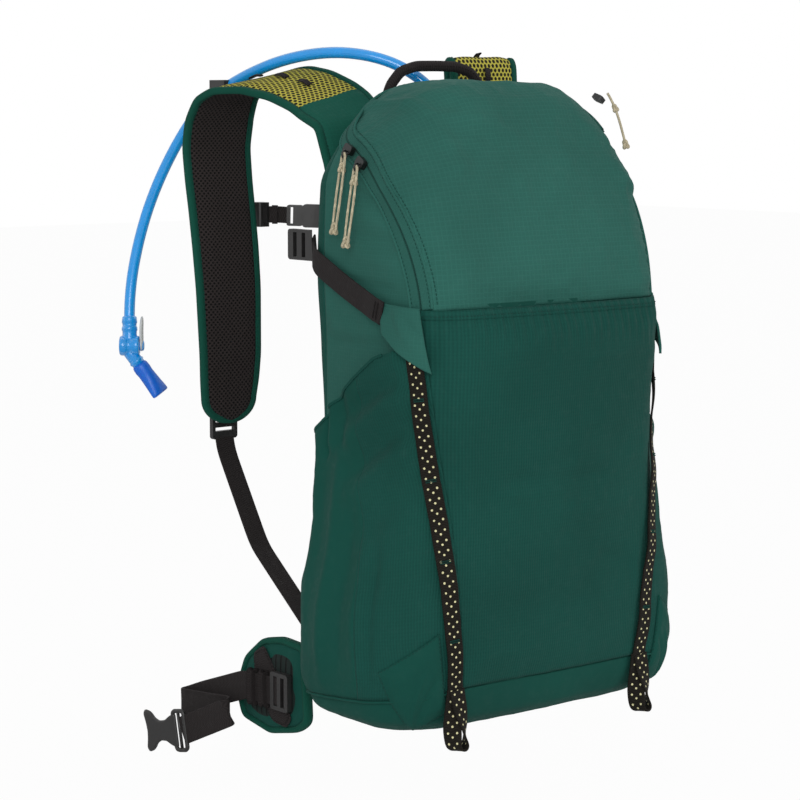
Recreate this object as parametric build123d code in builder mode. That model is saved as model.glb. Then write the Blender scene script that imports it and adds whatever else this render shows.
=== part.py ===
from build123d import *
import math
import os

os.makedirs("parts", exist_ok=True)

# Hydration day pack. Millimetres; +Z up, -Y the front of the bag, +Y the wearer's side.
# The origin is the bearing point of the haul loop: the underside of its crown.

# ---- driving dimensions ------------------------------------------------------------------
body_height = 525.0        # base to the top of the bag
bag_width = 336.0          # widest, at the side pockets
front_reach = 101.0        # middle line to the front face, at the pocket's mouth
back_reach = 84.0          # middle line to the back panel
corner_round = 46.0        # upright corners, at the base
front_crown = 9.0          # how far the front bows out between its corners
side_crown = 5.0
wall = 2.5                 # fabric with its lining
skin = 2.0                 # outer pocket fabric
gap = 0.6                  # between pieces that move on each other
seat = 0.0                 # pieces sewn face to face

loop_rise = 11.5           # underside of the haul loop over the top of the bag
loop_span = 112.0          # between the haul loop's feet
loop_tube = 9.4            # haul loop tube
loop_setback = 62.0        # haul loop's plane behind the bag's middle line
loop_foot_drop = 40.0      # feet below the crown's underside

seam_front = 38.0          # base seam's height at the front
seam_back = 14.0           # and at the back
hem_height = 346.0         # mouth of the stash pocket
stash_puff = 16.0          # stash pocket stands off the front wall at its mouth
side_puff = 15.0           # side pocket stands off at its mouth
side_mouth_front = 318.0   # side pocket's slanting mouth
side_mouth_back = 236.0
seam_half_top = 128.0      # front seams, half apart at the hem
seam_half_base = 98.0      # and at the base
pocket_back = 60.0         # rear edge of the side pockets behind the middle line
back_cut = 50.0            # side seam of the back panel behind the middle line

zip_radius = 151.7         # main zip's arc on the side
zip_start_y = -72.0        # zip's low end
zip_turn_y = 27.0          # where the arc turns up over the rear corner
zip_turn_radius = 40.0
tape_width = 8.0
tape_thick = 1.6           # also the compression straps that lie on the sides

pad_thick = 10.0
strap_width = 66.0
strap_thick = 10.0
webbing_thick = 1.6
chain_web = 15.0
compress_web = 20.0
hip_web = 25.0
sternum_web = 15.0
lower_web = 20.0
hose_od = 10.0
pull_cord_od = 2.2

base_z = -(body_height + loop_rise)
mid_y = -loop_setback

# Stations of the bag, from the ground up: shares of the height, of the half width, of the
# reach to the front and to the back, and of the corner radius.
stations = [
    (0.000, 0.845, 0.693, 0.619, 0.83),
    (0.023, 0.940, 0.851, 0.762, 0.98),
    (0.076, 0.988, 0.921, 0.833, 1.00),
    (0.162, 0.976, 0.950, 0.845, 1.00),
    (0.286, 0.875, 0.970, 0.917, 0.91),
    (0.448, 0.792, 0.980, 0.917, 0.83),
    (0.590, 0.780, 1.000, 0.976, 0.76),
    (0.705, 0.792, 0.931, 1.000, 0.76),
    (0.838, 0.780, 0.762, 1.000, 0.83),
    (0.905, 0.702, 0.634, 0.905, 0.87),
    (0.943, 0.631, 0.545, 0.810, 0.90),
    (0.975, 0.536, 0.455, 0.714, 0.80),
    (1.000, 0.369, 0.238, 0.405, 0.40),
]


def station_at(h):
    share = h / body_height
    for low, high in zip(stations, stations[1:]):
        if share <= high[0]:
            t = (share - low[0]) / (high[0] - low[0])
            return [a + (b - a) * t for a, b in zip(low, high)]
    return list(stations[-1])


def half_width(h):
    return bag_width / 2 * station_at(h)[1]


def front_y(h):
    return mid_y - front_reach * station_at(h)[2]


def back_y(h):
    return mid_y + back_reach * station_at(h)[3]


def nothing(h):
    return 0.0


def bag_loft(grow=0.0, front=nothing, side=nothing, back=nothing, ends=0.0):
    """Solid of the bag's outline, grown all round and puffed out on the sides asked for."""
    with BuildPart() as solid:
        for share, wide, fore, aft, corner in stations:
            h = share * body_height
            if share == 0.0:
                h = -ends
            if share == 1.0:
                h = body_height + ends
            hx = bag_width / 2 * wide + grow
            yf = mid_y - front_reach * fore - grow
            yb = mid_y + back_reach * aft + grow
            bow = front_crown * min(1.0, fore)
            cx = hx - side_crown
            with BuildSketch(Plane.XY.offset(base_z + h)) as outline:
                with BuildLine():
                    ThreePointArc((-cx, yf + bow), (0, yf - front(h)), (cx, yf + bow))
                    ThreePointArc((cx, yf + bow), (hx + side(h), (yf + yb) / 2), (cx, yb))
                    ThreePointArc((cx, yb), (0, yb + 1.0 + back(h)), (-cx, yb))
                    ThreePointArc((-cx, yb), (-hx - side(h), (yf + yb) / 2), (-cx, yf + bow))
                make_face()
                fillet(outline.vertices(), corner_round * corner + grow)
        loft()
    return solid.part


def yz_prism(points, x0, x1):
    with BuildPart() as prism:
        with BuildSketch(Plane.YZ.offset(x0)):
            with BuildLine():
                Polyline(*points, close=True)
            make_face()
        extrude(amount=x1 - x0)
    return prism.part



def to_y(y):
    return mid_y + y


def to_z(h):
    return base_z + h


def zip_line(shift=0.0):
    """The main zip's line in side view, from the hem to the top, moved outwards by shift."""
    centre_y = zip_start_y + zip_radius
    centre_h = hem_height - 14.5
    radius = zip_radius + shift
    turn_y = zip_turn_y - centre_y
    end_angle = math.acos(turn_y / zip_radius)
    start = (to_y(centre_y - math.sqrt(radius**2 - 14.5**2)), to_z(hem_height))
    middle_angle = (math.pi + end_angle) / 2
    middle = (
        to_y(centre_y + radius * math.cos(middle_angle)),
        to_z(centre_h + radius * math.sin(middle_angle)),
    )
    end = (
        to_y(centre_y + radius * math.cos(end_angle)),
        to_z(centre_h + radius * math.sin(end_angle)),
    )
    heading = end_angle - math.pi / 2
    bend = zip_turn_radius - shift
    top_y = end[0] + bend * (1 - math.sin(heading))
    top_z = end[1] + bend * math.cos(heading)
    return start, middle, end, heading, bend, top_y, top_z


zip_centre_y = to_y(zip_start_y + zip_radius)
zip_centre_z = to_z(hem_height - 14.5)
far = 400.0
high_z = 60.0


def zip_side(shift, front_side):
    """Prism of all that lies on one side of the zip's line."""
    start, middle, end, heading, bend, top_y, top_z = zip_line(shift)
    edge_y = -far if front_side else far
    foot = [(edge_y, start[1])] if front_side else [(edge_y, -2 * far), (start[0], -2 * far)]
    with BuildPart() as prism:
        with BuildSketch(Plane.YZ.offset(-far)):
            with BuildLine():
                ThreePointArc(start, middle, end)
                JernArc(end, (math.cos(heading), math.sin(heading)), bend,
                        90 - math.degrees(heading))
                Polyline((top_y, top_z), (top_y, high_z), (edge_y, high_z), *foot, start)
            make_face()
        extrude(amount=2 * far)
    return prism.part


def front_half(h):
    """Half the distance between the two front seams."""
    share = min(1.0, max(0.0, (h - seam_front) / (hem_height - seam_front)))
    return seam_half_base + (seam_half_top - seam_half_base) * share


def front_prism(y0, y1):
    """The front between its two seams, from under the base to the hem."""
    low = front_half(0)
    with BuildPart() as prism:
        with BuildSketch(Plane.XZ.offset(-y1)):
            with BuildLine():
                Polyline((-low, to_z(-20)), (low, to_z(-20)), (low, to_z(seam_front)),
                         (seam_half_top, to_z(hem_height)), (-seam_half_top, to_z(hem_height)),
                         (-low, to_z(seam_front)), close=True)
            make_face()
        extrude(amount=y1 - y0)
    return prism.part


def base_line(y):
    """Height of the base seam over a place front to back."""
    share = (y + front_reach) / (front_reach + back_reach)
    return seam_front + (seam_back - seam_front) * share


def above_base(lift=0.0, x0=-far, x1=far):
    return yz_prism([(to_y(-far), to_z(base_line(-far) + lift)), (to_y(far), to_z(base_line(far) + lift)),
                     (to_y(far), high_z), (to_y(-far), high_z)], x0, x1)


def block(x0, x1, y0, y1, z0, z1):
    with BuildPart() as box:
        with BuildSketch(Plane.XY.offset(z0)):
            with Locations(((x0 + x1) / 2, (y0 + y1) / 2)):
                Rectangle(x1 - x0, y1 - y0)
        extrude(amount=z1 - z0)
    return box.part


def common(first, *others):
    """What all the solids share, as one part."""
    with BuildPart() as shared:
        add(first)
        for other in others:
            add(other, mode=Mode.INTERSECT)
    return shared.part


def less(first, *others):
    with BuildPart() as rest:
        add(first)
        for other in others:
            add(other, mode=Mode.SUBTRACT)
    return rest.part


def stash_bow(h):
    """How far the stash pocket stands off the front wall: nothing at the base seam."""
    return stash_puff * min(1.0, max(0.0, (h - seam_front) / (hem_height - seam_front)))


def side_bow(h):
    top = (side_mouth_front + side_mouth_back) / 2
    return side_puff * min(1.0, max(0.0, (h - seam_back) / (top - seam_back)))


written = []


def save(builder, name):
    builder.part.label = name
    export_step(builder.part, "parts/" + name + ".step")
    written.append(name)


def at(x, y, h):
    """A place from the bag's middle line and its base."""
    return (x, to_y(y), to_z(h))


# The drinking hose: up inside the bag from the reservoir's port, out at the top of the back
# panel, over the left shoulder strap and down to the valve.
hose_play = 1.5
hose_exit_point = 8
hose_points = [at(8, 22, 118), at(28, 21, 142), at(52, 21, 190), at(57, 22, 250), at(54, 23, 318),
               at(52, 25, 385), at(38, 38, 446), at(20, 56, 488), at(8, 73, 521), at(-15, 97, 545),
               at(-45, 133, 555), at(-68, 181, 550), at(-85, 230, 533), at(-97, 276, 508),
               at(-112, 298, 470), at(-126, 316, 424), at(-136, 326, 378), at(-143, 329, 334),
               at(-145, 326, 312)]


def route_radii(points):
    """Largest tangent arcs that the runs leave room for."""
    places = [Vector(*p) for p in points]
    radii = []
    for before, here, after in zip(places, places[1:], places[2:]):
        turn = (here - before).get_angle(after - here)
        shorter = min((here - before).length, (after - here).length)
        radii.append(0.45 * shorter / math.tan(math.radians(turn) / 2))
    return radii


outer = bag_loft()
inner = bag_loft(grow=-wall, ends=-wall)
shell = less(outer, inner)
behind_zip = zip_side(0.0, False)
before_zip = zip_side(gap, True)
over_base = above_base()

# ---- bag panels --------------------------------------------------------------------------
with BuildPart() as back_panel:
    add(shell)
    add(behind_zip, mode=Mode.INTERSECT)
    add(over_base, mode=Mode.INTERSECT)
    add(block(-far, far, to_y(back_cut), far, base_z - 5, high_z), mode=Mode.INTERSECT)
    with BuildLine() as exit_line:
        Line(hose_points[hose_exit_point - 1], hose_points[hose_exit_point])
    with BuildSketch(exit_line.line ^ 0):
        Circle(hose_od / 2 + hose_play)
    sweep(mode=Mode.SUBTRACT)
save(back_panel, "back_panel")

with BuildPart() as base_panel:
    add(shell)
    add(over_base, mode=Mode.SUBTRACT)
save(base_panel, "base_panel")

with BuildPart() as front_wall:
    add(shell)
    add(front_prism(-far, mid_y), mode=Mode.INTERSECT)
    add(over_base, mode=Mode.INTERSECT)
save(front_wall, "front_wall")

side_rest = less(common(shell, behind_zip, over_base,
                        block(-far, far, -far, to_y(back_cut), base_z - 5, high_z)),
                 front_prism(-far, mid_y))
for side, name in ((-1, "side_panel_left"), (1, "side_panel_right")):
    with BuildPart() as side_panel:
        add(side_rest)
        add(block(min(0, side * far), max(0, side * far), -far, far, base_z - 5, high_z),
            mode=Mode.INTERSECT)
    save(side_panel, name)

with BuildPart() as front_flap:
    add(shell)
    add(before_zip, mode=Mode.INTERSECT)
    add(block(-far, far, -far, far, to_z(hem_height + gap), high_z), mode=Mode.INTERSECT)
save(front_flap, "front_flap")


# ---- pockets -----------------------------------------------------------------------------
puffed_inner = bag_loft(front=stash_bow, side=side_bow)
puffed_outer = bag_loft(grow=skin, front=stash_bow, side=side_bow)
pocket_shell = common(less(puffed_outer, puffed_inner), over_base)

with BuildPart() as stash_pocket:
    add(pocket_shell)
    add(front_prism(-far, mid_y), mode=Mode.INTERSECT)
save(stash_pocket, "stash_pocket")

mouth = [(to_y(-far), base_z - 5), (to_y(pocket_back), base_z - 5),
         (to_y(pocket_back), to_z(side_mouth_back)), (to_y(20), to_z(side_mouth_back + 34)),
         (to_y(-35), to_z(side_mouth_front - 6)), (to_y(-75), to_z(side_mouth_front + 6)),
         (to_y(-far), to_z(side_mouth_front + 6))]
for side, name in ((-1, "side_pocket_left"), (1, "side_pocket_right")):
    with BuildPart() as side_pocket:
        add(pocket_shell)
        add(yz_prism(mouth, min(side * 60, side * far), max(side * 60, side * far)),
            mode=Mode.INTERSECT)
        add(front_prism(-far, mid_y), mode=Mode.SUBTRACT)
        add(back_panel.part, mode=Mode.SUBTRACT)
    save(side_pocket, name)

# ---- zip tapes and straps sewn on the panels ---------------------------------------------
trim_outer = bag_loft(grow=tape_thick)
trim_layer = less(trim_outer, outer)

with BuildPart() as zip_tape_body:
    add(trim_layer)
    add(zip_side(0.0, False), mode=Mode.INTERSECT)
    add(zip_side(-tape_width, False), mode=Mode.SUBTRACT)
    add(block(-far, far, -far, to_y(back_reach), to_z(hem_height), high_z), mode=Mode.INTERSECT)
save(zip_tape_body, "zip_tape_body")

with BuildPart() as zip_tape_flap:
    add(trim_layer)
    add(zip_side(gap, True), mode=Mode.INTERSECT)
    add(zip_side(tape_width + gap, True), mode=Mode.SUBTRACT)
    add(block(-far, far, -far, far, to_z(hem_height + 2 * gap), high_z), mode=Mode.INTERSECT)
save(zip_tape_flap, "zip_tape_flap")


def band(start, end, width):
    """Corners of a straight band between two places in side view."""
    run = math.hypot(end[0] - start[0], end[1] - start[1])
    ny = -(end[1] - start[1]) / run * width / 2
    nz = (end[0] - start[0]) / run * width / 2
    return [(start[0] + ny, start[1] + nz), (end[0] + ny, end[1] + nz),
            (end[0] - ny, end[1] - nz), (start[0] - ny, start[1] - nz)]


compress_back = (to_y(78), to_z(388))
compress_front = (to_y(-34), to_z(345))
for side, name in ((-1, "compression_strap_left"), (1, "compression_strap_right")):
    with BuildPart() as compression_strap:
        add(trim_layer)
        add(yz_prism(band(compress_front, compress_back, compress_web),
                     min(side * 50, side * far), max(side * 50, side * far)), mode=Mode.INTERSECT)
    save(compression_strap, name)

# ---- daisy chains down the front seams, with their loops below ----------------------------
chain_top = 306.0
chain_foot = 40.0
bag_trim = bag_loft(grow=skin + webbing_thick, front=stash_bow, side=side_bow)
chain_layer = less(bag_trim, puffed_outer)
loop_drop = 58.0
loop_wide = 17.0
for side, name in ((-1, "daisy_chain_left"), (1, "daisy_chain_right")):
    loop_y = front_y(chain_foot) - 0.3
    foot_x = side * front_half(chain_foot)
    top_x = side * front_half(chain_top)
    with BuildPart() as daisy_chain:
        add(chain_layer)
        with BuildSketch(Plane.XZ) as run:
            with BuildLine():
                Polyline((foot_x - chain_web / 2, to_z(chain_foot)), (foot_x + chain_web / 2, to_z(chain_foot)),
                         (top_x + chain_web / 2, to_z(chain_top)), (top_x - chain_web / 2, to_z(chain_top)),
                         close=True)
            make_face()
        extrude(run.sketch, amount=far, mode=Mode.INTERSECT)
        add(block(-far, far, -far, mid_y - 30, base_z, high_z), mode=Mode.INTERSECT)
    with BuildPart() as chain_loop:
        with BuildSketch(Plane.XZ.offset(-loop_y)):
            with BuildLine():
                low = to_z(chain_foot - loop_drop + loop_wide / 2)
                Polyline((foot_x - 2, to_z(chain_foot)), (foot_x - loop_wide / 2, low))
                ThreePointArc((foot_x - loop_wide / 2, low),
                              (foot_x, low - loop_wide / 2), (foot_x + loop_wide / 2, low))
                Polyline((foot_x + loop_wide / 2, low), (foot_x + 2, to_z(chain_foot)))
            trace(line_width=1.8)
        extrude(amount=chain_web)
        add(bag_trim, mode=Mode.SUBTRACT)
    with BuildPart() as whole_chain:
        add(daisy_chain.part)
        add(chain_loop.part)
    save(whole_chain, name)

# ---- harness: pads on the back panel --------------------------------------------------------
pad_layer = less(bag_loft(grow=pad_thick), outer)


def pad_outline(x, h, wide, tall, corner):
    with BuildPart() as prism:
        with BuildSketch(Plane.XZ.offset(-(mid_y + 30))):
            with Locations((x, to_z(h))):
                RectangleRounded(wide, tall, corner)
        extrude(amount=-far)
    return prism.part


for x, h, wide, tall, corner, name in (
    (-52, 285, 76, 210, 24, "back_pad_left"),
    (52, 285, 76, 210, 24, "back_pad_right"),
    (0, 110, 190, 96, 30, "lumbar_pad"),
):
    with BuildPart() as pad:
        add(pad_layer)
        add(pad_outline(x, h, wide, tall, corner), mode=Mode.INTERSECT)
    save(pad, name)

# ---- haul loop -------------------------------------------------------------------------------
with BuildPart() as haul_loop:
    with BuildLine(Plane.XZ) as arch:
        r = loop_tube / 2
        FilletPolyline((-loop_span / 2, -loop_foot_drop), (-loop_span / 2 + 3, -16),
                       (-loop_span / 2 + 22, r), (loop_span / 2 - 22, r),
                       (loop_span / 2 - 3, -16), (loop_span / 2, -loop_foot_drop),
                       radius=22)
    with BuildSketch(arch.line ^ 0):
        Circle(r)
    sweep()
    add(trim_outer, mode=Mode.SUBTRACT)
save(haul_loop, "haul_loop")

# ---- shoulder straps ---------------------------------------------------------------------------
# Centre line in side view: reach behind the middle line and height, from the back panel to the tip.
left_line = [(84, 448), (98, 492), (134, 508), (178, 522), (217, 523), (243, 505), (251, 470),
             (240, 415), (228, 345), (225, 285), (228, 226)]
right_line = [(84, 436), (92, 510), (96, 549), (109, 549), (119, 500), (124, 400), (124, 300), (126, 226)]
strap_cut = 500.0
straps = []
shoulder_straps = (
    (-1, left_line, [20, 30, 60, 26, 22, 60, 120, 160, 160], "shoulder_strap_left",
     [(-98, 92), (-98, 130), (-113, 182), (-131, 232), (-131, 262), (-65, 262), (-62, 215),
      (-45, 182), (-32, 130), (-32, 92)]),
    (1, right_line, [60, 6, 6, 60, 160, 300], "shoulder_strap_right",
     [(113, 80), (124, 108), (131, 135), (66, 135), (50, 108), (47, 80)]),
)
for side, line, turns, name, plan in shoulder_straps:
    tip = min(h for y, h in line)
    with BuildPart() as outline:
        with BuildSketch(Plane.XY.offset(to_z(strap_cut))):
            with BuildLine():
                Polyline(*[(x, to_y(y)) for x, y in plan], close=True)
            make_face()
        extrude(amount=100)
        with BuildSketch(Plane.XZ.offset(-to_y(back_reach + 30))):
            with BuildLine():
                Polyline((side * 131, to_z(strap_cut)), (side * 134, to_z(360)), (side * 131, to_z(tip + 26)))
                ThreePointArc((side * 131, to_z(tip + 26)), (side * 104, to_z(tip)), (side * 77, to_z(tip + 26)))
                Polyline((side * 77, to_z(tip + 26)), (side * 71, to_z(360)), (side * 65, to_z(strap_cut)),
                         (side * 131, to_z(strap_cut)))
            make_face()
        extrude(amount=-200)
        yoke_x = side * (65 if side < 0 else 80)
        add(block(yoke_x - 33, yoke_x + 33, mid_y, to_y(back_reach + 30), to_z(430), to_z(strap_cut)))
    with BuildPart() as shoulder_strap:
        with BuildSketch(Plane.YZ.offset(side * 20 if side > 0 else -140)):
            with BuildLine():
                FilletPolyline(*[(to_y(y), to_z(h)) for y, h in line], radius=turns)
            trace(line_width=strap_thick)
        extrude(amount=120)
        add(outline.part, mode=Mode.INTERSECT)
        add(outer, mode=Mode.SUBTRACT)
    save(shoulder_strap, name)
    straps.append(shoulder_strap.part)


def web_run(start, end, width, thick, flat=(0, 0, 1)):
    """A straight run of webbing; its width lies along flat as near as the run allows."""
    a = Vector(*start)
    b = Vector(*end)
    along = (b - a).normalized()
    across = along.cross(Vector(*flat)).normalized()
    with BuildPart() as run:
        with BuildSketch(Plane(origin=a, x_dir=across, z_dir=along)):
            Rectangle(thick, width)
        extrude(amount=(b - a).length)
    return run.part


def along_plane(start, end, share):
    """Plane whose x runs from start to end and whose y is up as near as that allows."""
    a = Vector(*start)
    b = Vector(*end)
    along = (b - a).normalized()
    across = along.cross(Vector(0, 0, 1)).normalized()
    return Plane(origin=a + (b - a) * share, x_dir=along, z_dir=across)


# ---- strap ends: ladder locks and lower webbing ---------------------------------------------
lock_wide = 27.0
lock_tall = 30.0
lock_thick = 5.0
anchor_h = 70.0
for side, name, foot_y, foot_h in ((-1, "left", 228, 226), (1, "right", 126, 226)):
    face = to_y(foot_y + strap_thick / 2)
    with BuildPart() as ladder_lock:
        with BuildSketch(Plane.XZ.offset(-face)) as plate:
            with Locations((side * 104, to_z(foot_h - 3))):
                RectangleRounded(lock_wide, lock_tall, 3)
            with Locations((side * 104, to_z(foot_h - 9)), (side * 104, to_z(foot_h - 1))):
                Rectangle(lower_web + 1, 3.4, mode=Mode.SUBTRACT)
        extrude(amount=-lock_thick)
    save(ladder_lock, "ladder_lock_" + name)
    start = (side * 104, face + lock_thick / 2, to_z(foot_h - 3 - lock_tall / 2) - 1.0)
    end = at(side * 126, 40, anchor_h - 30)
    with BuildPart() as lower_webbing:
        add(web_run(start, end, lower_web, webbing_thick, flat=(1, 0, 0)))
        add(outer, mode=Mode.SUBTRACT)
        add(ladder_lock.part, mode=Mode.SUBTRACT)
        add(block(-far, far, to_y(pocket_back), far, to_z(10), high_z), mode=Mode.INTERSECT)
    save(lower_webbing, "lower_webbing_" + name)

# ---- sternum strap: one buckled piece that slides on the shoulder straps' edges --------------
sternum_left = at(-58, 240, 409)
sternum_right = at(58, 125, 405)
sternum_ends = []
for place, name in ((sternum_left, "sternum_slider_left"), (sternum_right, "sternum_slider_right")):
    with BuildPart() as sternum_slider:
        with BuildSketch(Plane.XY.offset(place[2] - 11)):
            with Locations((place[0], place[1])):
                RectangleRounded(12, 14, 2.5)
        extrude(amount=22)
        with BuildSketch(Plane.XZ.offset(-place[1])):
            with Locations((place[0], place[2])):
                Rectangle(4, sternum_web + 1)
        extrude(amount=20, both=True, mode=Mode.SUBTRACT)
    save(sternum_slider, name)
    sternum_ends.append(sternum_slider.part)

buckle_share = 0.26
buckle_long = 36.0
run_length = (Vector(*sternum_right) - Vector(*sternum_left)).length
half_share = buckle_long / 2 / run_length
for begin, finish, name in ((6.2 / run_length, buckle_share - half_share, "sternum_web_left"),
                            (buckle_share + half_share, 1 - 6.2 / run_length, "sternum_web_right")):
    low = Vector(*sternum_left) + (Vector(*sternum_right) - Vector(*sternum_left)) * begin
    high = Vector(*sternum_left) + (Vector(*sternum_right) - Vector(*sternum_left)) * finish
    with BuildPart() as sternum_webbing:
        add(web_run(tuple(low), tuple(high), sternum_web, webbing_thick))
        add(sternum_ends, mode=Mode.SUBTRACT)
    save(sternum_webbing, name)

with BuildPart() as sternum_socket:
    with BuildSketch(along_plane(sternum_left, sternum_right, buckle_share).offset(-4)):
        with Locations((buckle_long * 0.2, 0)):
            RectangleRounded(buckle_long * 0.6, 21, 3)
    extrude(amount=8)
save(sternum_socket, "sternum_buckle_socket")

with BuildPart() as sternum_prong:
    with BuildSketch(along_plane(sternum_left, sternum_right, buckle_share).offset(-3.2)):
        with Locations((-buckle_long * 0.3, 0)):
            RectangleRounded(buckle_long * 0.4, 19, 2)
        with Locations((-buckle_long * 0.38, 0)):
            Rectangle(3, sternum_web, mode=Mode.SUBTRACT)
    extrude(amount=6.4)
save(sternum_prong, "sternum_buckle_prong")

# ---- compression buckles at the rear corners ---------------------------------------------------
for side, name in ((-1, "compression_buckle_left"), (1, "compression_buckle_right")):
    with BuildPart() as compression_buckle:
        with BuildSketch(Plane.YZ.offset(side * 126 - 2.2)):
            with Locations((to_y(86), to_z(391))):
                RectangleRounded(36, 26, 3)
            with Locations((to_y(82), to_z(391)), (to_y(94), to_z(391))):
                Rectangle(5, compress_web + 0.6, mode=Mode.SUBTRACT)
        extrude(amount=4.4)
        add(trim_outer, mode=Mode.SUBTRACT)
    save(compression_buckle, name)

# ---- hip belt --------------------------------------------------------------------------------
prong_plane = along_plane(at(-175, 197, -43), at(-190, 245, -52), 0.0)
with BuildPart() as hip_prong:
    with BuildSketch(prong_plane.offset(-3.5)):
        with Locations((7, 0)):
            RectangleRounded(14, 38, 3)
        with Locations((5, 0)):
            Rectangle(4, hip_web + 1, mode=Mode.SUBTRACT)
        with Locations((30, 0)):
            Rectangle(34, 6)
        with Locations((28, 13), (28, -13)):
            Rectangle(30, 5)
        with Locations((43, 14), (43, -14)):
            RectangleRounded(10, 9, 3)
        with Locations((16, 0)):
            Rectangle(6, 30)
    extrude(amount=7)
save(hip_prong, "hip_buckle_prong")

socket_plane = along_plane(at(175, 197, -43), at(190, 245, -52), 0.0)
with BuildPart() as hip_socket:
    with BuildSketch(socket_plane.offset(-5.5)):
        with Locations((24, 0)):
            RectangleRounded(48, 40, 4)
        with Locations((5, 0)):
            Rectangle(4, hip_web + 1, mode=Mode.SUBTRACT)
    extrude(amount=11)
    with BuildSketch(socket_plane.offset(-3.8)):
        with Locations((30, 0)):
            Rectangle(40, 32)
    extrude(amount=7.6, mode=Mode.SUBTRACT)
save(hip_socket, "hip_buckle_socket")

wing_x = 133.0
wing_thick = 10.0
wing_axis_y = 76.0
patch_thick = 1.6
hip_lock_thick = 5.0
wing_shape = [(76, 46), (108, 48), (133, 43), (158, 24), (171, -6), (163, -28), (124, -34), (88, -18),
              (76, -4)]
patch_shape = [(90, 38), (90, -26), (148, -8), (144, 16)]
tail_turns = [(142.8, 114, 4), (146, 148, 3), (151, 233, -27), (160, 147, -18), (175, 197, -43)]
buckle_end = (190, 245, -52)
for side, name in ((-1, "left"), (1, "right")):
    outside = side * (wing_x + wing_thick / 2)
    with BuildPart() as hip_wing:
        with BuildSketch(Plane.YZ.offset(side * wing_x - wing_thick / 2)) as wing_face:
            with BuildLine():
                Polyline(*[(to_y(y), to_z(h)) for y, h in wing_shape], close=True)
            make_face()
            fillet(wing_face.vertices().filter_by(lambda v: v.Y > to_y(80)), 9)
        extrude(amount=wing_thick)
        with BuildSketch(Plane.XY.offset(to_z(-4))):
            with Locations((side * wing_x, to_y(wing_axis_y))):
                Circle(wing_thick / 2)
        extrude(amount=50)
    save(hip_wing, "hip_wing_" + name)

    with BuildPart() as hip_patch:
        with BuildSketch(Plane.YZ.offset(outside)):
            with BuildLine():
                Polyline(*[(to_y(y), to_z(h)) for y, h in patch_shape], close=True)
            make_face()
        extrude(amount=side * patch_thick)
    save(hip_patch, "hip_patch_" + name)

    with BuildPart() as hip_lock:
        with BuildSketch(Plane.YZ.offset(outside + side * patch_thick)):
            with Locations((to_y(99), to_z(5))):
                RectangleRounded(25, hip_web + 8, 3)
            with Locations((to_y(94), to_z(5)), (to_y(104), to_z(5))):
                Rectangle(5, hip_web + 1, mode=Mode.SUBTRACT)
        extrude(amount=side * hip_lock_thick)
    save(hip_lock, "hip_ladder_lock_" + name)

    corners = [at(side * x, y, h) for x, y, h in tail_turns]
    with BuildPart() as hip_webbing:
        for start, end in zip(corners, corners[1:]):
            add(web_run(start, end, hip_web, webbing_thick))
        for place in corners[1:-1]:
            with BuildSketch(Plane.XY.offset(place[2] - hip_web / 2)):
                with Locations((place[0], place[1])):
                    Circle(webbing_thick / 2)
            extrude(amount=hip_web)
        add(hip_prong.part if side < 0 else hip_socket.part, mode=Mode.SUBTRACT)
    save(hip_webbing, "hip_webbing_" + name)

# ---- reservoir inside -----------------------------------------------------------------------------
reservoir_front = 32.0
reservoir_back = 60.0
cap_h = 322.0
cap_r = 33.0
with BuildPart() as reservoir:
    with BuildSketch(Plane.XZ.offset(-to_y(reservoir_back))):
        with Locations((0, to_z(240))):
            RectangleRounded(176, 300, 26)
    extrude(amount=reservoir_back - reservoir_front)
    fillet(reservoir.edges().filter_by(Axis.Y, reverse=True), 9)
    with BuildSketch(Plane.XZ.offset(-to_y(reservoir_front))):
        with Locations((0, to_z(cap_h))):
            Circle(cap_r + 4)
            Circle(cap_r - 6, mode=Mode.SUBTRACT)
    extrude(amount=4)
save(reservoir, "reservoir")

with BuildPart() as reservoir_cap:
    with BuildSketch(Plane.XZ.offset(-to_y(reservoir_front - 4.4))):
        with Locations((0, to_z(cap_h))):
            Circle(cap_r)
    extrude(amount=9)
    with BuildSketch(Plane.XZ.offset(-to_y(reservoir_front - 4.4)) ):
        with Locations((0, to_z(cap_h))):
            with PolarLocations(cap_r, 24):
                Circle(1.8)
    extrude(amount=7)
save(reservoir_cap, "reservoir_cap")

with BuildPart() as reservoir_sleeve:
    add(block(-101, 101, to_y(10), far, to_z(30), to_z(352)))
    add(block(-99.8, 99.8, to_y(11.2), far, to_z(20), to_z(360)), mode=Mode.SUBTRACT)
    add(inner, mode=Mode.INTERSECT)
save(reservoir_sleeve, "reservoir_sleeve")

with BuildPart() as hanger:
    add(block(-12, 12, to_y(reservoir_front + 8), far, to_z(390), to_z(402)))
    add(inner, mode=Mode.INTERSECT)
save(hanger, "reservoir_hanger")

with BuildPart() as hose_port:
    with BuildSketch(Plane.XZ.offset(-to_y(reservoir_front))):
        with Locations((0, to_z(109))):
            Circle(9)
    extrude(amount=17)
    with BuildLine() as stub:
        Line(at(0, 22.4, 108.4), hose_points[0])
    with BuildSketch(stub.line ^ 0):
        Circle(hose_od / 2 + 1.6)
    sweep()
save(hose_port, "hose_port")

# ---- hose, clip and valve ---------------------------------------------------------------------------
radii = route_radii(hose_points)
print("hose radii", [round(r) for r in radii])
with BuildPart() as hose:
    with BuildLine() as hose_line:
        FilletPolyline(*hose_points, radius=radii)
    with BuildSketch(hose_line.line ^ 0):
        Circle(hose_od / 2)
    sweep()
print("hose length", round(hose_line.wires()[0].length, 1), "volume over section times length",
      round(hose.part.volume / (math.pi * hose_od**2 / 4 * hose_line.wires()[0].length), 4))
save(hose, "hose")

with BuildPart() as hose_clip:
    add(block(-97, -84, to_y(240), to_y(263), to_z(498), to_z(530)))
    add(hose.part, mode=Mode.SUBTRACT)
    add(straps[0], mode=Mode.SUBTRACT)
save(hose_clip, "hose_clip")

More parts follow.
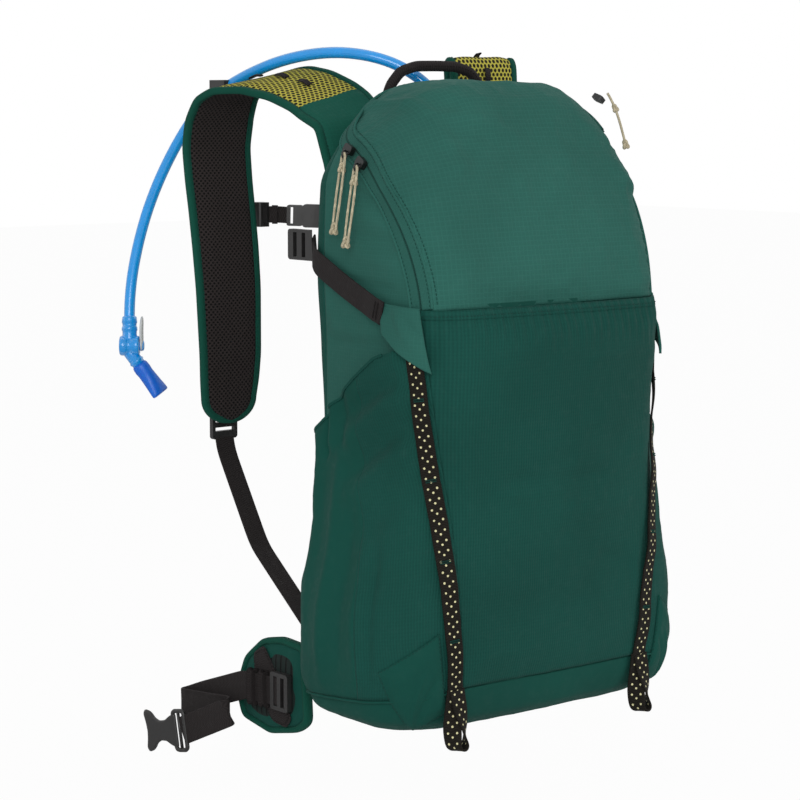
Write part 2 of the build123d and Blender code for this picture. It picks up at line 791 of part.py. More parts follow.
valve_top = Vector(*hose_points[-1])
valve_down = (valve_top - Vector(*hose_points[-2])).normalized()
barrel = valve_top + valve_down * 24
bite_way = Vector(13.3, -11.2, -23.5).normalized()
neck_top = barrel + Vector(0, 0, -6)
lever_axis = Vector(0.766, -0.643, 0)
with BuildPart() as valve_body:
    with BuildSketch(Plane(origin=valve_top, z_dir=valve_down)):
        Circle(hose_od / 2 + 2.2)
    extrude(amount=24)
    with BuildSketch(Plane(origin=barrel - lever_axis * 9, z_dir=lever_axis)):
        Circle(9)
    extrude(amount=18)
    with BuildSketch(Plane(origin=neck_top, z_dir=bite_way)):
        Circle(6)
    extrude(amount=16)
save(valve_body, "valve_body")

with BuildPart() as bite_valve:
    with BuildSketch(Plane(origin=neck_top + bite_way * 16, x_dir=(0.9, 0.3, 0), z_dir=bite_way)):
        Circle(7)
    with BuildSketch(Plane(origin=neck_top + bite_way * 30, x_dir=(0.9, 0.3, 0), z_dir=bite_way)):
        Circle(8)
    with BuildSketch(Plane(origin=neck_top + bite_way * 46, x_dir=(0.9, 0.3, 0), z_dir=bite_way)):
        Ellipse(12, 5.5)
    loft()
save(bite_valve, "bite_valve")

with BuildPart() as shutoff_lever:
    with BuildSketch(Plane(origin=barrel + lever_axis * 9.4, x_dir=(0, 0, 1), z_dir=lever_axis)):
        with Locations((11, 0)):
            SlotOverall(32, 9)
        Circle(6)
    extrude(amount=3)
save(shutoff_lever, "shutoff_lever")

# ---- zip sliders and pulls -----------------------------------------------------------------------------
slider_long = 11.0
slider_wide = 8.0
slider_thick = 4.4
slider_tilt = 15.0         # leans with the side panel, which falls away at the top
pull_long = 64.0
pull_lean = 0.17           # a pull hangs outwards by this share of its fall


def pull_route(x, y, h):
    """A cord doubled through the slider's ring, both ends in one knot."""
    half = [(2.0, pull_long), (3.0, 40), (2.7, 20), (2.3, 8), (1.9, 0)]
    down = [at(x - pull_lean * fall, y - wide, h - fall) for wide, fall in half]
    up = [at(x - pull_lean * fall, y + wide, h - fall) for wide, fall in reversed(half)]
    return down + up


outwards = Vector(-1, 0, 0).rotate(Axis.Y, slider_tilt)
for name, y, h, x, stand_off in (("upper", 20, 471, -124.0, 1.6), ("lower", 0, 461, -128.6, 0.2)):
    radial = Vector(0, to_y(y) - zip_centre_y, to_z(h) - zip_centre_z)
    along = radial.cross(outwards).normalized()
    foot = Vector(*at(x, y, h)) + outwards * stand_off
    with BuildPart() as slider:
        with BuildSketch(Plane(origin=foot, x_dir=along, z_dir=outwards)):
            RectangleRounded(slider_long, slider_wide, 2.4)
        extrude(amount=slider_thick)
    save(slider, "main_slider_" + name)
    low_edge = slider_long / 2 * math.sin(math.radians(slider_tilt))
    pull_x = foot.X - slider_thick - low_edge - pull_cord_od / 2 - gap
    route = pull_route(pull_x, y, h - 2)
    with BuildPart() as pull:
        with BuildLine() as pull_line:
            FilletPolyline(*route, radius=route_radii(route))
        with BuildSketch(pull_line.line ^ 0):
            Circle(pull_cord_od / 2)
        sweep()
    print("pull", name, "x", round(pull_x, 2), "length", round(pull_line.wires()[0].length, 1),
          round(pull.part.volume / (math.pi * pull_cord_od**2 / 4 * pull_line.wires()[0].length), 4))
    save(pull, "pull_cord_" + name)
print("pull radii", [round(r, 1) for r in route_radii(route)])

with BuildPart() as pocket_zip:
    add(trim_layer)
    add(block(86, 97, to_y(-44), to_y(30), to_z(470), high_z), mode=Mode.INTERSECT)
save(pocket_zip, "pocket_zip")

with BuildPart() as pocket_slider:
    with BuildSketch(Plane(origin=at(95, -40, 512), x_dir=(0, 0.96, 0.28), z_dir=(0.6, -0.22, 0.76))):
        RectangleRounded(11, 8, 2.4)
    extrude(amount=4)
save(pocket_slider, "pocket_slider")

pocket_route = [at(101, -46, 518), at(103.5, -47, 514), at(107.5, -49, 505), at(112, -51, 492),
                at(116.5, -53, 474)]
with BuildPart() as pocket_pull:
    with BuildLine() as pocket_line:
        FilletPolyline(*pocket_route, radius=route_radii(pocket_route))
    with BuildSketch(pocket_line.line ^ 0):
        Circle(pull_cord_od / 2)
    sweep()
save(pocket_pull, "pull_cord_pocket")
print(len(written), "pieces")
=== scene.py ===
import bpy, math
import numpy as np
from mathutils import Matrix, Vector


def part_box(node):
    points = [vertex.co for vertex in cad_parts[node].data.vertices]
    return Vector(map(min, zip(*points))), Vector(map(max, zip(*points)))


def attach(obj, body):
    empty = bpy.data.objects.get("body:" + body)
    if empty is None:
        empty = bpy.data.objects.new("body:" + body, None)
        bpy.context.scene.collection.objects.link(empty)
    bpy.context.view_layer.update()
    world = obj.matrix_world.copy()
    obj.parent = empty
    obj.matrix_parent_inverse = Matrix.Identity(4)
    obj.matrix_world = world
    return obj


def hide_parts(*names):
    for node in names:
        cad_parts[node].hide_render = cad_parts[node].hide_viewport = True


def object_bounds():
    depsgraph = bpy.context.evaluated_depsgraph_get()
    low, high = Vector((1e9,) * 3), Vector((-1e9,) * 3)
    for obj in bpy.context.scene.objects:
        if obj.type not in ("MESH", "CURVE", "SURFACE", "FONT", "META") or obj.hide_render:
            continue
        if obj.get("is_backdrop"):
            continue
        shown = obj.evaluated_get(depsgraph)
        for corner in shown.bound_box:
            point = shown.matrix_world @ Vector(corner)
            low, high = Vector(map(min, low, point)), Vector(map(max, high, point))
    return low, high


for leftover in ("Cube", "Light", "Camera"):
    if leftover in bpy.data.objects:
        bpy.data.objects.remove(bpy.data.objects[leftover])

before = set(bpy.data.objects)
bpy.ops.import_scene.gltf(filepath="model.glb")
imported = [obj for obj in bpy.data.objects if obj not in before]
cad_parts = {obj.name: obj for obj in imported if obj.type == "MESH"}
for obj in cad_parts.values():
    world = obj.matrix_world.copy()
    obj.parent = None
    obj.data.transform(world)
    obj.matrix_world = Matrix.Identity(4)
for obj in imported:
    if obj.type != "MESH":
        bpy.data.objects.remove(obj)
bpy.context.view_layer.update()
print("frame loaded")

# All shapes are worked out in millimetres from the bag's middle line (x, y) and its
# base (h), and turned into the frame's metres when a mesh or curve is made.
bag = {
    "height": 525, "halfWidth": 168, "front": 101, "back": 84, "corner": 46,
    "frontCrown": 9, "sideCrown": 5, "dome": 3,
    "seamFront": 38, "seamBack": 14, "hem": 346, "rearSeam": 50,
    "frontSeamTop": 128, "frontSeamBase": 98,
    "stations": [  # share of height, of half width, of reach to front and back, of corner
        (0, .845, .693, .619, .83), (.023, .94, .851, .762, .98), (.076, .988, .921, .833, 1),
        (.162, .976, .95, .845, 1), (.286, .875, .97, .917, .91), (.448, .792, .98, .917, .83),
        (.59, .78, 1, .976, .76), (.705, .792, .931, 1, .76), (.838, .78, .762, 1, .83),
        (.905, .702, .634, .905, .87), (.943, .631, .545, .81, .9), (.975, .536, .455, .714, .8),
        (1, .369, .238, .405, .4), (1.006, .02, .02, .02, .02)],
}
mm = 0.001
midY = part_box("front_wall")[0].y + bag["front"] * mm
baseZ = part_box("base_panel")[0].z
bagTop = bag["height"] + bag["dome"]


def toFrame(points):
    return np.asarray(points, float) * mm + np.array([0, midY, baseZ])


def unit(vectors):  # each brought to length 1
    return vectors / np.maximum(np.linalg.norm(vectors, axis=-1, keepdims=True), 1e-9)


def runAlong(line):  # how far along the line each of its points is
    return np.concatenate(([0], np.cumsum(np.linalg.norm(np.diff(line, axis=0), axis=1))))


def readAt(where, run, line):  # the line's places that far along
    return np.stack([np.interp(where, run, line[:, k]) for k in range(line.shape[1])], axis=-1)


# the bag's own surface
stationTable = np.array(bag["stations"], float).T


def smoothTable(xs, ys, at):
    step = np.diff(xs)
    rise = np.diff(ys) / step
    joint = rise[:-1] * rise[1:]
    slope = np.where(joint > 0, 2 * joint / np.where(joint > 0, rise[:-1] + rise[1:], 1), 0)
    slope = np.concatenate(([rise[0]], slope, [rise[-1]]))
    k = np.clip(np.searchsorted(xs, at, side="right") - 1, 0, len(xs) - 2)
    t = (at - xs[k]) / step[k]
    return (ys[k] * (1 + 2 * t) * (1 - t) ** 2 + slope[k] * step[k] * t * (1 - t) ** 2
            + ys[k + 1] * t * t * (3 - 2 * t) + slope[k + 1] * step[k] * t * t * (t - 1))


def sectionAt(h):
    share = np.clip(np.asarray(h, float) / bag["height"], 0, stationTable[0][-1])
    sizes = [smoothTable(stationTable[0], column, share) for column in stationTable[1:]]
    return [s * bag[k] for s, k in zip(sizes, ("halfWidth", "front", "back", "corner"))]


def outsideBy(points):  # distance outside the bag, below zero inside
    x, y, h = points[..., 0], points[..., 1], points[..., 2]
    wide, fore, aft, corner = sectionAt(h)
    bow = bag["frontCrown"] * fore / bag["front"]
    across = np.clip(np.abs(x) / wide, 0, 1) ** 2
    along = np.clip((y - (aft - fore) / 2) / ((aft + fore) / 2), -1, 1) ** 2
    sideways = np.abs(x) - wide + bag["sideCrown"] * along + corner
    endways = np.maximum(y - aft - 1 + across, bow * across - fore - y) + corner
    flat = (np.hypot(np.maximum(sideways, 0), np.maximum(endways, 0))
            + np.minimum(np.maximum(sideways, endways), 0) - corner)
    return np.maximum(flat, h - bagTop)


def castOut(start, way, reach=420.0):
    near = np.zeros(way.shape[:-1])
    far = near + reach
    for _ in range(26):
        half = (near + far) / 2
        out = outsideBy(start + way * half[..., None]) > 0
        near, far = np.where(out, near, half), np.where(out, half, far)
    return start + way * far[..., None]


def outward(points, step=1.5):
    grad = [outsideBy(points + shift) - outsideBy(points - shift) for shift in np.eye(3) * step]
    return unit(np.stack(grad, axis=-1))


levels = np.arange(0, bagTop + 0.1, 2.0)
fan = np.linspace(0, math.pi, 241)
shares = np.linspace(0, 1, 241)


def makeRings():
    _, fore, aft, _ = sectionAt(levels)
    start = np.zeros((len(levels), len(fan), 3))
    start[..., 1] = ((aft - fore) / 2)[:, None]
    start[..., 2] = levels[:, None]
    way = np.zeros_like(start)
    way[..., 0], way[..., 1] = np.sin(fan), -np.cos(fan)
    hit = castOut(start, way)
    rings = np.zeros((len(levels), len(shares), 2))
    for k, ring in enumerate(hit):
        run = runAlong(ring)
        rings[k] = readAt(shares, run / run[-1], ring[:, :2])
    return rings


rings = makeRings()  # half rings: share of the way from front centre to back centre


def skinPoint(h, s):
    h, s = np.broadcast_arrays(np.asarray(h, float), np.asarray(s, float))
    s = (s + 1) % 2 - 1
    row = np.clip(h / 2.0, 0, len(levels) - 1.001)
    col = np.clip(np.abs(s) * (len(shares) - 1), 0, len(shares) - 1.001)
    i, j = row.astype(int), col.astype(int)
    a, b = (row - i)[..., None], (col - j)[..., None]
    flat = ((rings[i, j] * (1 - b) + rings[i, j + 1] * b) * (1 - a)
            + (rings[i + 1, j] * (1 - b) + rings[i + 1, j + 1] * b) * a)
    return np.stack([flat[..., 0] * np.sign(s), flat[..., 1], h], axis=-1)


def shareAtX(h, x):  # on the front
    ring = rings[int(round(h / 2.0))]
    widest = int(np.argmax(ring[:, 0]))
    return np.interp(abs(x), ring[:widest + 1, 0], shares[:widest + 1]) * (-1 if x < 0 else 1)


def shareAtY(h, y):
    return np.interp(y, rings[int(round(min(h, bagTop - 2) / 2.0))][:, 1], shares)


def frontSeam(h):
    t = np.clip((h - bag["seamFront"]) / (bag["hem"] - bag["seamFront"]), 0, 1)
    return bag["frontSeamBase"] + (bag["frontSeamTop"] - bag["frontSeamBase"]) * t


def baseSeam(y):
    t = (y + bag["front"]) / (bag["front"] + bag["back"])
    return bag["seamFront"] + (bag["seamBack"] - bag["seamFront"]) * t


# the main zip's line on the side
mainZip = {"centreY": 79.7, "centreH": 331.5, "radius": 151.7, "turnY": 27, "turnRadius": 40,
           "lift": 1.0, "swing": 84, "steps": 281}


def zipLine():
    cy, ch, r = mainZip["centreY"], mainZip["centreH"], mainZip["radius"]
    first = math.pi - math.asin((bag["hem"] - ch) / r)
    last = math.acos((mainZip["turnY"] - cy) / r)
    arc = [(cy + r * math.cos(a), ch + r * math.sin(a)) for a in np.linspace(first, last, 60)]
    tilt = last - math.pi / 2
    turn = mainZip["turnRadius"]
    hub = (arc[-1][0] - turn * math.sin(tilt), arc[-1][1] + turn * math.cos(tilt))
    arc += [(hub[0] + turn * math.sin(a), hub[1] - turn * math.cos(a))
            for a in np.linspace(tilt, math.pi / 2, 24)[1:]]
    return np.array(arc)


zipPath = zipLine()
zipPolar = np.stack([np.arctan2(zipPath[:, 1] - mainZip["centreH"], zipPath[:, 0] - mainZip["centreY"]),
                     np.hypot(zipPath[:, 1] - mainZip["centreH"], zipPath[:, 0] - mainZip["centreY"])])
hemAngle, rearAngle = zipPolar[0][0], zipPolar[0][-1]
hub = np.array([0, mainZip["centreY"], mainZip["centreH"]])


def zipReach(angle):
    return np.interp(angle, zipPolar[0][::-1], zipPolar[1][::-1])


def zipY(h):
    return np.interp(h, zipPath[:, 1], zipPath[:, 0])


def archRow(angle, inset, columns):  # over the bag from zip to zip, in a plane through the hub
    swing = np.radians(np.linspace(-mainZip["swing"], mainZip["swing"], mainZip["steps"]))
    way = np.stack([np.sin(swing), np.cos(swing) * math.cos(angle), np.cos(swing) * math.sin(angle)],
                   axis=-1)
    hit = castOut(hub, way)
    reach = np.hypot(hit[:, 1] - hub[1], hit[:, 2] - hub[2])
    run = runAlong(hit)
    middle = len(swing) // 2
    edge = np.interp(zipReach(angle) + inset, reach[:middle], run[:middle])
    at = np.linspace(edge, run[-1] - edge, columns)
    return readAt(at, run, hit)


# folds and creases
def softNoise(u, v, seed=1):
    grid = np.random.default_rng(seed).random((97, 97)) * 2 - 1
    i, j = np.floor(u).astype(int), np.floor(v).astype(int)
    a, b = u - i, v - j
    a, b = a * a * (3 - 2 * a), b * b * (3 - 2 * b)
    g = lambda m, n: grid[(i + m) % 97, (j + n) % 97]
    return (g(0, 0) * (1 - a) + g(1, 0) * a) * (1 - b) + (g(0, 1) * (1 - a) + g(1, 1) * a) * b


def crumple(u, v, size, seed=1):  # ridged creases of about that size in millimetres
    total = 0
    for octave, weight in ((1, 1.0), (2.1, .5), (4.3, .22)):
        n = softNoise(u / size * octave + 11, v / size * octave + 7, seed + int(octave * 10))
        total = total + weight * (1 - 2 * np.abs(n))
    return total / 1.7 - .2


def foldsAt(a, b, folds):  # each fold: from (a0, b0) to (a1, b1), half width, height
    total = np.zeros(np.broadcast(a, b).shape)
    for a0, b0, a1, b1, wide, high in folds:
        la, lb = a1 - a0, b1 - b0
        long = la * la + lb * lb
        t = ((a - a0) * la + (b - b0) * lb) / long
        off = np.hypot(a - a0 - np.clip(t, 0, 1) * la, b - b0 - np.clip(t, 0, 1) * lb)
        fade = np.clip(np.minimum(t, 1 - t) * 4 + .35, 0, 1)
        total = total + high * np.exp(-(off / wide) ** 2) * fade
    return total


# making pieces
def meshPiece(name, points, faces, material, uv=None):
    mesh = bpy.data.meshes.new(name)
    mesh.from_pydata([tuple(p) for p in toFrame(points)], [], [tuple(f) for f in faces])
    mesh.validate()
    if uv is not None:
        layer = mesh.uv_layers.new(name="UVMap")
        corner = np.empty(len(mesh.loops), int)
        mesh.loops.foreach_get("vertex_index", corner)
        layer.data.foreach_set("uv", (np.asarray(uv)[corner] * mm).ravel())
    mesh.polygons.foreach_set("use_smooth", [True] * len(mesh.polygons))
    piece = bpy.data.objects.new(name, mesh)
    bpy.context.collection.objects.link(piece)
    piece.data.materials.append(material)
    return piece


def gridUv(points):
    across = np.cumsum(np.linalg.norm(np.diff(points, axis=1, prepend=points[:, :1]), axis=2), axis=1)
    across = across - across[:, [points.shape[1] // 2]]
    along = np.cumsum(np.linalg.norm(np.diff(points, axis=0, prepend=points[:1]), axis=2), axis=0)
    return np.stack([across, along], axis=-1)


def gridPiece(name, points, material, uv=None, thick=0.0, closed=False, flip=False):
    rows, cols = points.shape[:2]
    spread = cols if closed else cols - 1
    i, j = np.meshgrid(np.arange(rows - 1), np.arange(spread), indexing="ij")
    a, b = (i * cols + j).ravel(), (i * cols + (j + 1) % cols).ravel()
    quads = np.stack([a, b, b + cols, a + cols], axis=-1)
    quads = quads[:, ::-1] if flip else quads
    uv = gridUv(points) if uv is None else uv
    piece = meshPiece(name, points.reshape(-1, 3), quads, material, uv.reshape(-1, 2))
    if thick:
        shell = piece.modifiers.new("thickness", "SOLIDIFY")
        shell.thickness, shell.offset = thick * mm, -1
    return piece


def sewOn(piece, body, slot, *nodes):
    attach(piece, body)
    if nodes:
        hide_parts(*nodes)
    return piece


def resample(line, count):
    line = np.asarray(line, float)
    run = runAlong(line)
    return readAt(np.linspace(0, run[-1], count), run, line)


def smoothLine(line, count, passes=12):
    line = resample(line, count)
    for _ in range(passes):
        line[1:-1] = line[:-2] * .25 + line[1:-1] * .5 + line[2:] * .25
    return line


def tangents(line, closed=False):
    if closed:
        way = np.roll(line, -1, axis=0) - np.roll(line, 1, axis=0)
    else:
        way = np.gradient(line, axis=0)
    return unit(way)


def sweepPiece(name, line, normal, profile, material, closed=False, scale=None):
    # profile: (across, up) points round the section; up runs along the normal
    line = np.asarray(line, float)
    along = tangents(line, closed)
    normal = np.broadcast_to(np.asarray(normal, float), line.shape)
    across = unit(np.cross(along, normal))
    up = np.cross(across, along)
    profile = np.asarray(profile, float)
    size = np.ones((len(line), 2)) if scale is None else np.asarray(scale, float)
    points = (line[:, None] + across[:, None] * (profile[None, :, 0] * size[:, :1])[..., None]
              + up[:, None] * (profile[None, :, 1] * size[:, 1:])[..., None])
    rows, cols = points.shape[:2]
    span = rows if closed else rows - 1
    i, j = np.meshgrid(np.arange(span), np.arange(cols), indexing="ij")
    a, b = (i * cols + j).ravel(), (i * cols + (j + 1) % cols).ravel()
    c, d = ((i + 1) % rows * cols + (j + 1) % cols).ravel(), ((i + 1) % rows * cols + j).ravel()
    faces = [tuple(f) for f in np.stack([a, b, c, d], axis=-1)]
    if not closed:
        faces += [tuple(range(cols))[::-1], tuple((rows - 1) * cols + k for k in range(cols))]
    uv = np.stack(np.broadcast_arrays(runAlong(profile)[None, :], runAlong(line)[:, None]), axis=-1)
    return meshPiece(name, points.reshape(-1, 3), faces, material, uv.reshape(-1, 2))


def circle(radius, count=12):
    a = np.linspace(0, 2 * math.pi, count, endpoint=False)
    return np.stack([radius * np.cos(a), radius * np.sin(a)], axis=-1)


def bindingSection(wide, high):  # a tape folded over an edge
    a = np.linspace(0, 2 * math.pi, 12, endpoint=False)
    across, up = np.cos(a), np.sin(a)
    return np.stack([wide * np.sign(across) * np.abs(across) ** .7, high * np.sign(up) * np.abs(up) ** .7],
                    axis=-1)


def flatSection(wide, thick, count=8):  # a woven strap's section, its edges rounded
    half, r = wide / 2, thick / 2
    a = np.linspace(-math.pi / 2, math.pi / 2, 5)
    right = [(half - r + r * math.cos(t), r * math.sin(t)) for t in a]
    top = [(x, r) for x in np.linspace(half - r, -half + r, count)[1:-1]]
    left = [(-x, -y) for x, y in right]
    bottom = [(-x, -y) for x, y in top]
    return np.array(right + top + left + bottom)


def joinPieces(name, pieces):
    bpy.ops.object.select_all(action="DESELECT")
    for piece in pieces:
        piece.select_set(True)
    bpy.context.view_layer.objects.active = pieces[0]
    bpy.ops.object.join()
    pieces[0].name = name
    return pieces[0]


def threadRun(name, line, normal, material, pitch=3.4, long=2.4, radius=.35, lift=.1):
    # one row of stitches along a seam
    line = np.asarray(line, float)
    normal = np.broadcast_to(np.asarray(normal, float), line.shape)
    run = runAlong(line)
    starts = np.arange(pitch / 2, run[-1] - long, pitch)
    points, faces = [], []
    shape = [(0, -.4), (.22, .75), (.5, 1), (.78, .75), (1, -.4)]
    for begin in starts:
        first = len(points)
        for share, rise in shape:
            here = begin + share * long
            centre, up = readAt(here, run, line), readAt(here, run, normal)
            way = readAt(begin + long, run, line) - readAt(begin, run, line)
            side = np.cross(way, up)
            side = side / max(np.linalg.norm(side), 1e-9) * radius
            centre = centre + up * (lift + radius * rise)
            points += [centre - side, centre + up * radius * .8, centre + side]
        for k in range(len(shape) - 1):
            a = first + 3 * k
            faces += [(a, a + 1, a + 4, a + 3), (a + 1, a + 2, a + 5, a + 4)]
    return meshPiece(name, points, faces, material)


# finishes
def paint(r, g, b):
    return tuple(((c / 255 + .055) / 1.055) ** 2.4 if c > 10 else c / 255 / 12.92 for c in (r, g, b)) + (1,)


colours = {
    "upperGreen": paint(47, 101, 91), "lowerGreen": paint(24, 80, 71), "plainGreen": paint(20, 78, 68),
    "binding": paint(20, 84, 69), "strapGreen": paint(24, 86, 72), "tapeGreen": paint(48, 102, 92),
    "threadGreen": paint(30, 78, 70), "webbing": paint(50, 46, 46), "chain": paint(36, 33, 28),
    # the two hole colours are painted shade: the dark seen inside each hole of the open meshes
    "fleck": paint(232, 226, 176), "meshDark": paint(56, 50, 49), "meshHoleShade": paint(16, 16, 16),
    "spacer": paint(205, 196, 84), "spacerHoleShade": paint(30, 29, 24), "plastic": paint(38, 37, 37),
    "metal": paint(60, 62, 62), "cord": paint(214, 202, 172), "hose": paint(4, 166, 255),
    "silicone": paint(4, 112, 232), "lever": paint(206, 210, 212), "bladder": paint(120, 176, 226),
    "cap": paint(16, 96, 188), "lining": paint(150, 156, 156), "backDark": paint(34, 44, 42),
}


def addNode(tree, kind, plugs=(), **settings):
    made = tree.nodes.new(kind if kind.startswith("NodeGroup") else "ShaderNode" + kind)
    for key, value in settings.items():
        setattr(made, key, value)
    for key, value in dict(plugs).items():
        if isinstance(value, bpy.types.NodeSocket):
            tree.links.new(value, made.inputs[key])
        else:
            made.inputs[key].default_value = value
    return made


def maths(tree, operation, *values):
    return addNode(tree, "Math", dict(enumerate(values)), operation=operation).outputs[0]


def ramp(tree, value, low, high, start=0.0, end=1.0):
    plugs = {"Value": value, "From Min": low, "From Max": high, "To Min": start, "To Max": end}
    return addNode(tree, "MapRange", plugs, interpolation_type="SMOOTHSTEP").outputs[0]


def newGroup(name, inputs, outputs):
    tree = bpy.data.node_groups.new(name, "ShaderNodeTree")
    tree.interface.new_socket(name="Vector", in_out="INPUT", socket_type="NodeSocketVector")
    for label, value in inputs.items():
        tree.interface.new_socket(name=label, in_out="INPUT",
                                  socket_type="NodeSocketFloat").default_value = value
    for label in outputs:
        tree.interface.new_socket(name=label, in_out="OUTPUT", socket_type="NodeSocketFloat")
    source = tree.nodes.new("NodeGroupInput")
    split = addNode(tree, "SeparateXYZ", {0: source.outputs["Vector"]})
    return tree, source.outputs, tree.nodes.new("NodeGroupOutput"), split.outputs


def noiseIn(tree, vector, scale, detail=2.0):
    return addNode(tree, "TexNoise", {"Vector": vector, "Scale": scale, "Detail": detail}).outputs["Fac"]


def makeRipstop():  # fine cloth with a raised square grid
    tree, given, out, axis = newGroup("Ripstop Grid", {"Pitch": .004, "Line": .16}, ("Lines", "Height"))
    lines = []
    for k in (0, 1):
        cell = maths(tree, "FRACT", maths(tree, "DIVIDE", axis[k], given["Pitch"]))
        lines.append(ramp(tree, maths(tree, "ABSOLUTE", maths(tree, "SUBTRACT", cell, .5)),
                          maths(tree, "SUBTRACT", .5, given["Line"]), .5))
    both = maths(tree, "MAXIMUM", *lines)
    threads = noiseIn(tree, given["Vector"], 2200.0)
    tree.links.new(both, out.inputs["Lines"])
    tree.links.new(maths(tree, "MULTIPLY_ADD", threads, .5, both), out.inputs["Height"])
    return tree


def makeRib():  # close ribs with a fainter cross thread
    tree, given, out, axis = newGroup("Rib Knit", {"Pitch": .0024, "Cross": .0031}, ("Ribs", "Height"))
    waves = []
    for k, pitch in ((0, "Pitch"), (1, "Cross")):
        turn = maths(tree, "MULTIPLY", maths(tree, "DIVIDE", axis[k], given[pitch]), 2 * math.pi)
        waves.append(maths(tree, "MULTIPLY_ADD", maths(tree, "SINE", turn), .5, .5))
    both = maths(tree, "MULTIPLY_ADD", waves[1], .35, waves[0])
    threads = noiseIn(tree, given["Vector"], 1800.0)
    tree.links.new(maths(tree, "MULTIPLY", both, .74), out.inputs["Ribs"])
    tree.links.new(maths(tree, "MULTIPLY_ADD", threads, .4, both), out.inputs["Height"])
    return tree


def makeHoles():  # open mesh, the holes in staggered rows
    inputs = {"Across": .004, "Along": .0024, "Size": .3, "Stretch": 1.0}
    tree, given, out, axis = newGroup("Open Mesh", inputs, ("Holes", "Height"))
    row = maths(tree, "DIVIDE", axis[1], given["Along"])
    shift = maths(tree, "MULTIPLY", maths(tree, "MODULO", maths(tree, "FLOOR", row), 2.0), .5)
    column = maths(tree, "ADD", maths(tree, "DIVIDE", axis[0], given["Across"]), shift)
    x = maths(tree, "SUBTRACT", maths(tree, "FRACT", column), .5)
    y = maths(tree, "MULTIPLY", maths(tree, "SUBTRACT", maths(tree, "FRACT", row), .5), given["Stretch"])
    away = maths(tree, "SQRT", maths(tree, "ADD", maths(tree, "MULTIPLY", x, x),
                                     maths(tree, "MULTIPLY", y, y)))
    holes = ramp(tree, away, given["Size"], maths(tree, "MULTIPLY", given["Size"], .6))
    threads = noiseIn(tree, given["Vector"], 1600.0)
    tree.links.new(holes, out.inputs["Holes"])
    tree.links.new(maths(tree, "SUBTRACT", maths(tree, "MULTIPLY", threads, .35), holes),
                   out.inputs["Height"])
    return tree


def makeWebbing():  # herringbone of thick threads, with a plain selvedge feel
    tree, given, out, axis = newGroup("Webbing Weave", {"Pitch": .0021, "Across": .0042},
                                      ("Threads", "Height"))
    side = maths(tree, "DIVIDE", axis[0], given["Across"])
    zigzag = maths(tree, "PINGPONG", side, 1.0)
    turn = maths(tree, "ADD", maths(tree, "DIVIDE", axis[1], given["Pitch"]), zigzag)
    wave = maths(tree, "MULTIPLY_ADD", maths(tree, "SINE", maths(tree, "MULTIPLY", turn, 2 * math.pi)), .5,
                 .5)
    fine = maths(tree, "MULTIPLY_ADD", noiseIn(tree, given["Vector"], 1500.0), .6, wave)
    tree.links.new(wave, out.inputs["Threads"])
    tree.links.new(fine, out.inputs["Height"])
    return tree


def makeFlecks():  # cream flecks woven in rows of three: one in the middle, two at the sides below it
    inputs = {"Middle": .0, "Face": .016, "Pitch": .0085, "Side": .0037, "Drop": .0033, "Size": .0011}
    tree, given, out, axis = newGroup("Chain Flecks", inputs, ("Flecks",))
    x = maths(tree, "SUBTRACT", maths(tree, "MODULO", axis[0], given["Face"]), given["Middle"])
    dots = []
    for offset, drop, mirror in ((0.0, 0.0, False), (given["Side"], given["Drop"], True)):
        across = maths(tree, "SUBTRACT", maths(tree, "ABSOLUTE", x) if mirror else x, offset)
        repeat = maths(tree, "DIVIDE", maths(tree, "ADD", axis[1], drop), given["Pitch"])
        along = maths(tree, "MULTIPLY", maths(tree, "SUBTRACT", maths(tree, "FRACT", repeat), .5),
                      given["Pitch"])
        away = maths(tree, "SQRT", maths(tree, "ADD", maths(tree, "MULTIPLY", across, across),
                                         maths(tree, "MULTIPLY", along, along)))
        dots.append(ramp(tree, away, given["Size"], maths(tree, "MULTIPLY", given["Size"], .6)))
    tree.links.new(maths(tree, "MAXIMUM", *dots), out.inputs["Flecks"])
    return tree


def makeAge():  # slow change of shade over the cloth, and rubbed fibres
    tree, given, out, axis = newGroup("Cloth Age", {"Broad": 9.0, "Fine": 160.0}, ("Shade", "Rub"))
    broad = noiseIn(tree, given["Vector"], given["Broad"], 3.0)
    fine = noiseIn(tree, given["Vector"], given["Fine"], 3.0)
    tree.links.new(ramp(tree, broad, .3, .7), out.inputs["Shade"])
    tree.links.new(ramp(tree, fine, .45, .75), out.inputs["Rub"])
    return tree


def makeGrain():  # moulded plastic: fine pits and soft marks
    tree, given, out, axis = newGroup("Moulded Grain", {"Scale": 900.0}, ("Marks", "Height"))
    tree.links.new(noiseIn(tree, given["Vector"], 60.0, 4.0), out.inputs["Marks"])
    tree.links.new(noiseIn(tree, given["Vector"], given["Scale"]), out.inputs["Height"])
    return tree


effects = {"ripstop": makeRipstop(), "rib": makeRib(), "holes": makeHoles(), "webbing": makeWebbing(),
           "flecks": makeFlecks(), "age": makeAge(), "grain": makeGrain()}


def newMaterial(name, colour, **shader):
    material = bpy.data.materials.new(name)
    material.use_nodes = True
    tree = material.node_tree
    surface = tree.nodes["Principled BSDF"]
    surface.inputs["Base Color"].default_value = colour
    for key, value in shader.items():
        surface.inputs[key.replace("_", " ")].default_value = value
    return material, tree, surface


def placeEffect(tree, effect, vector, **values):
    made = addNode(tree, "Group", node_tree=effects[effect])
    tree.links.new(vector, made.inputs["Vector"])
    for key, value in values.items():
        made.inputs[key].default_value = value
    return made.outputs


def blendColour(tree, share, first, second):
    mix = addNode(tree, "Mix", data_type="RGBA")
    for socket, value in ((mix.inputs[0], share), (mix.inputs[6], first), (mix.inputs[7], second)):
        if isinstance(value, bpy.types.NodeSocket):
            tree.links.new(value, socket)
        else:
            socket.default_value = value
    return mix.outputs[2]


def darker(colour, share):
    return tuple(c * share for c in colour[:3]) + (1,)


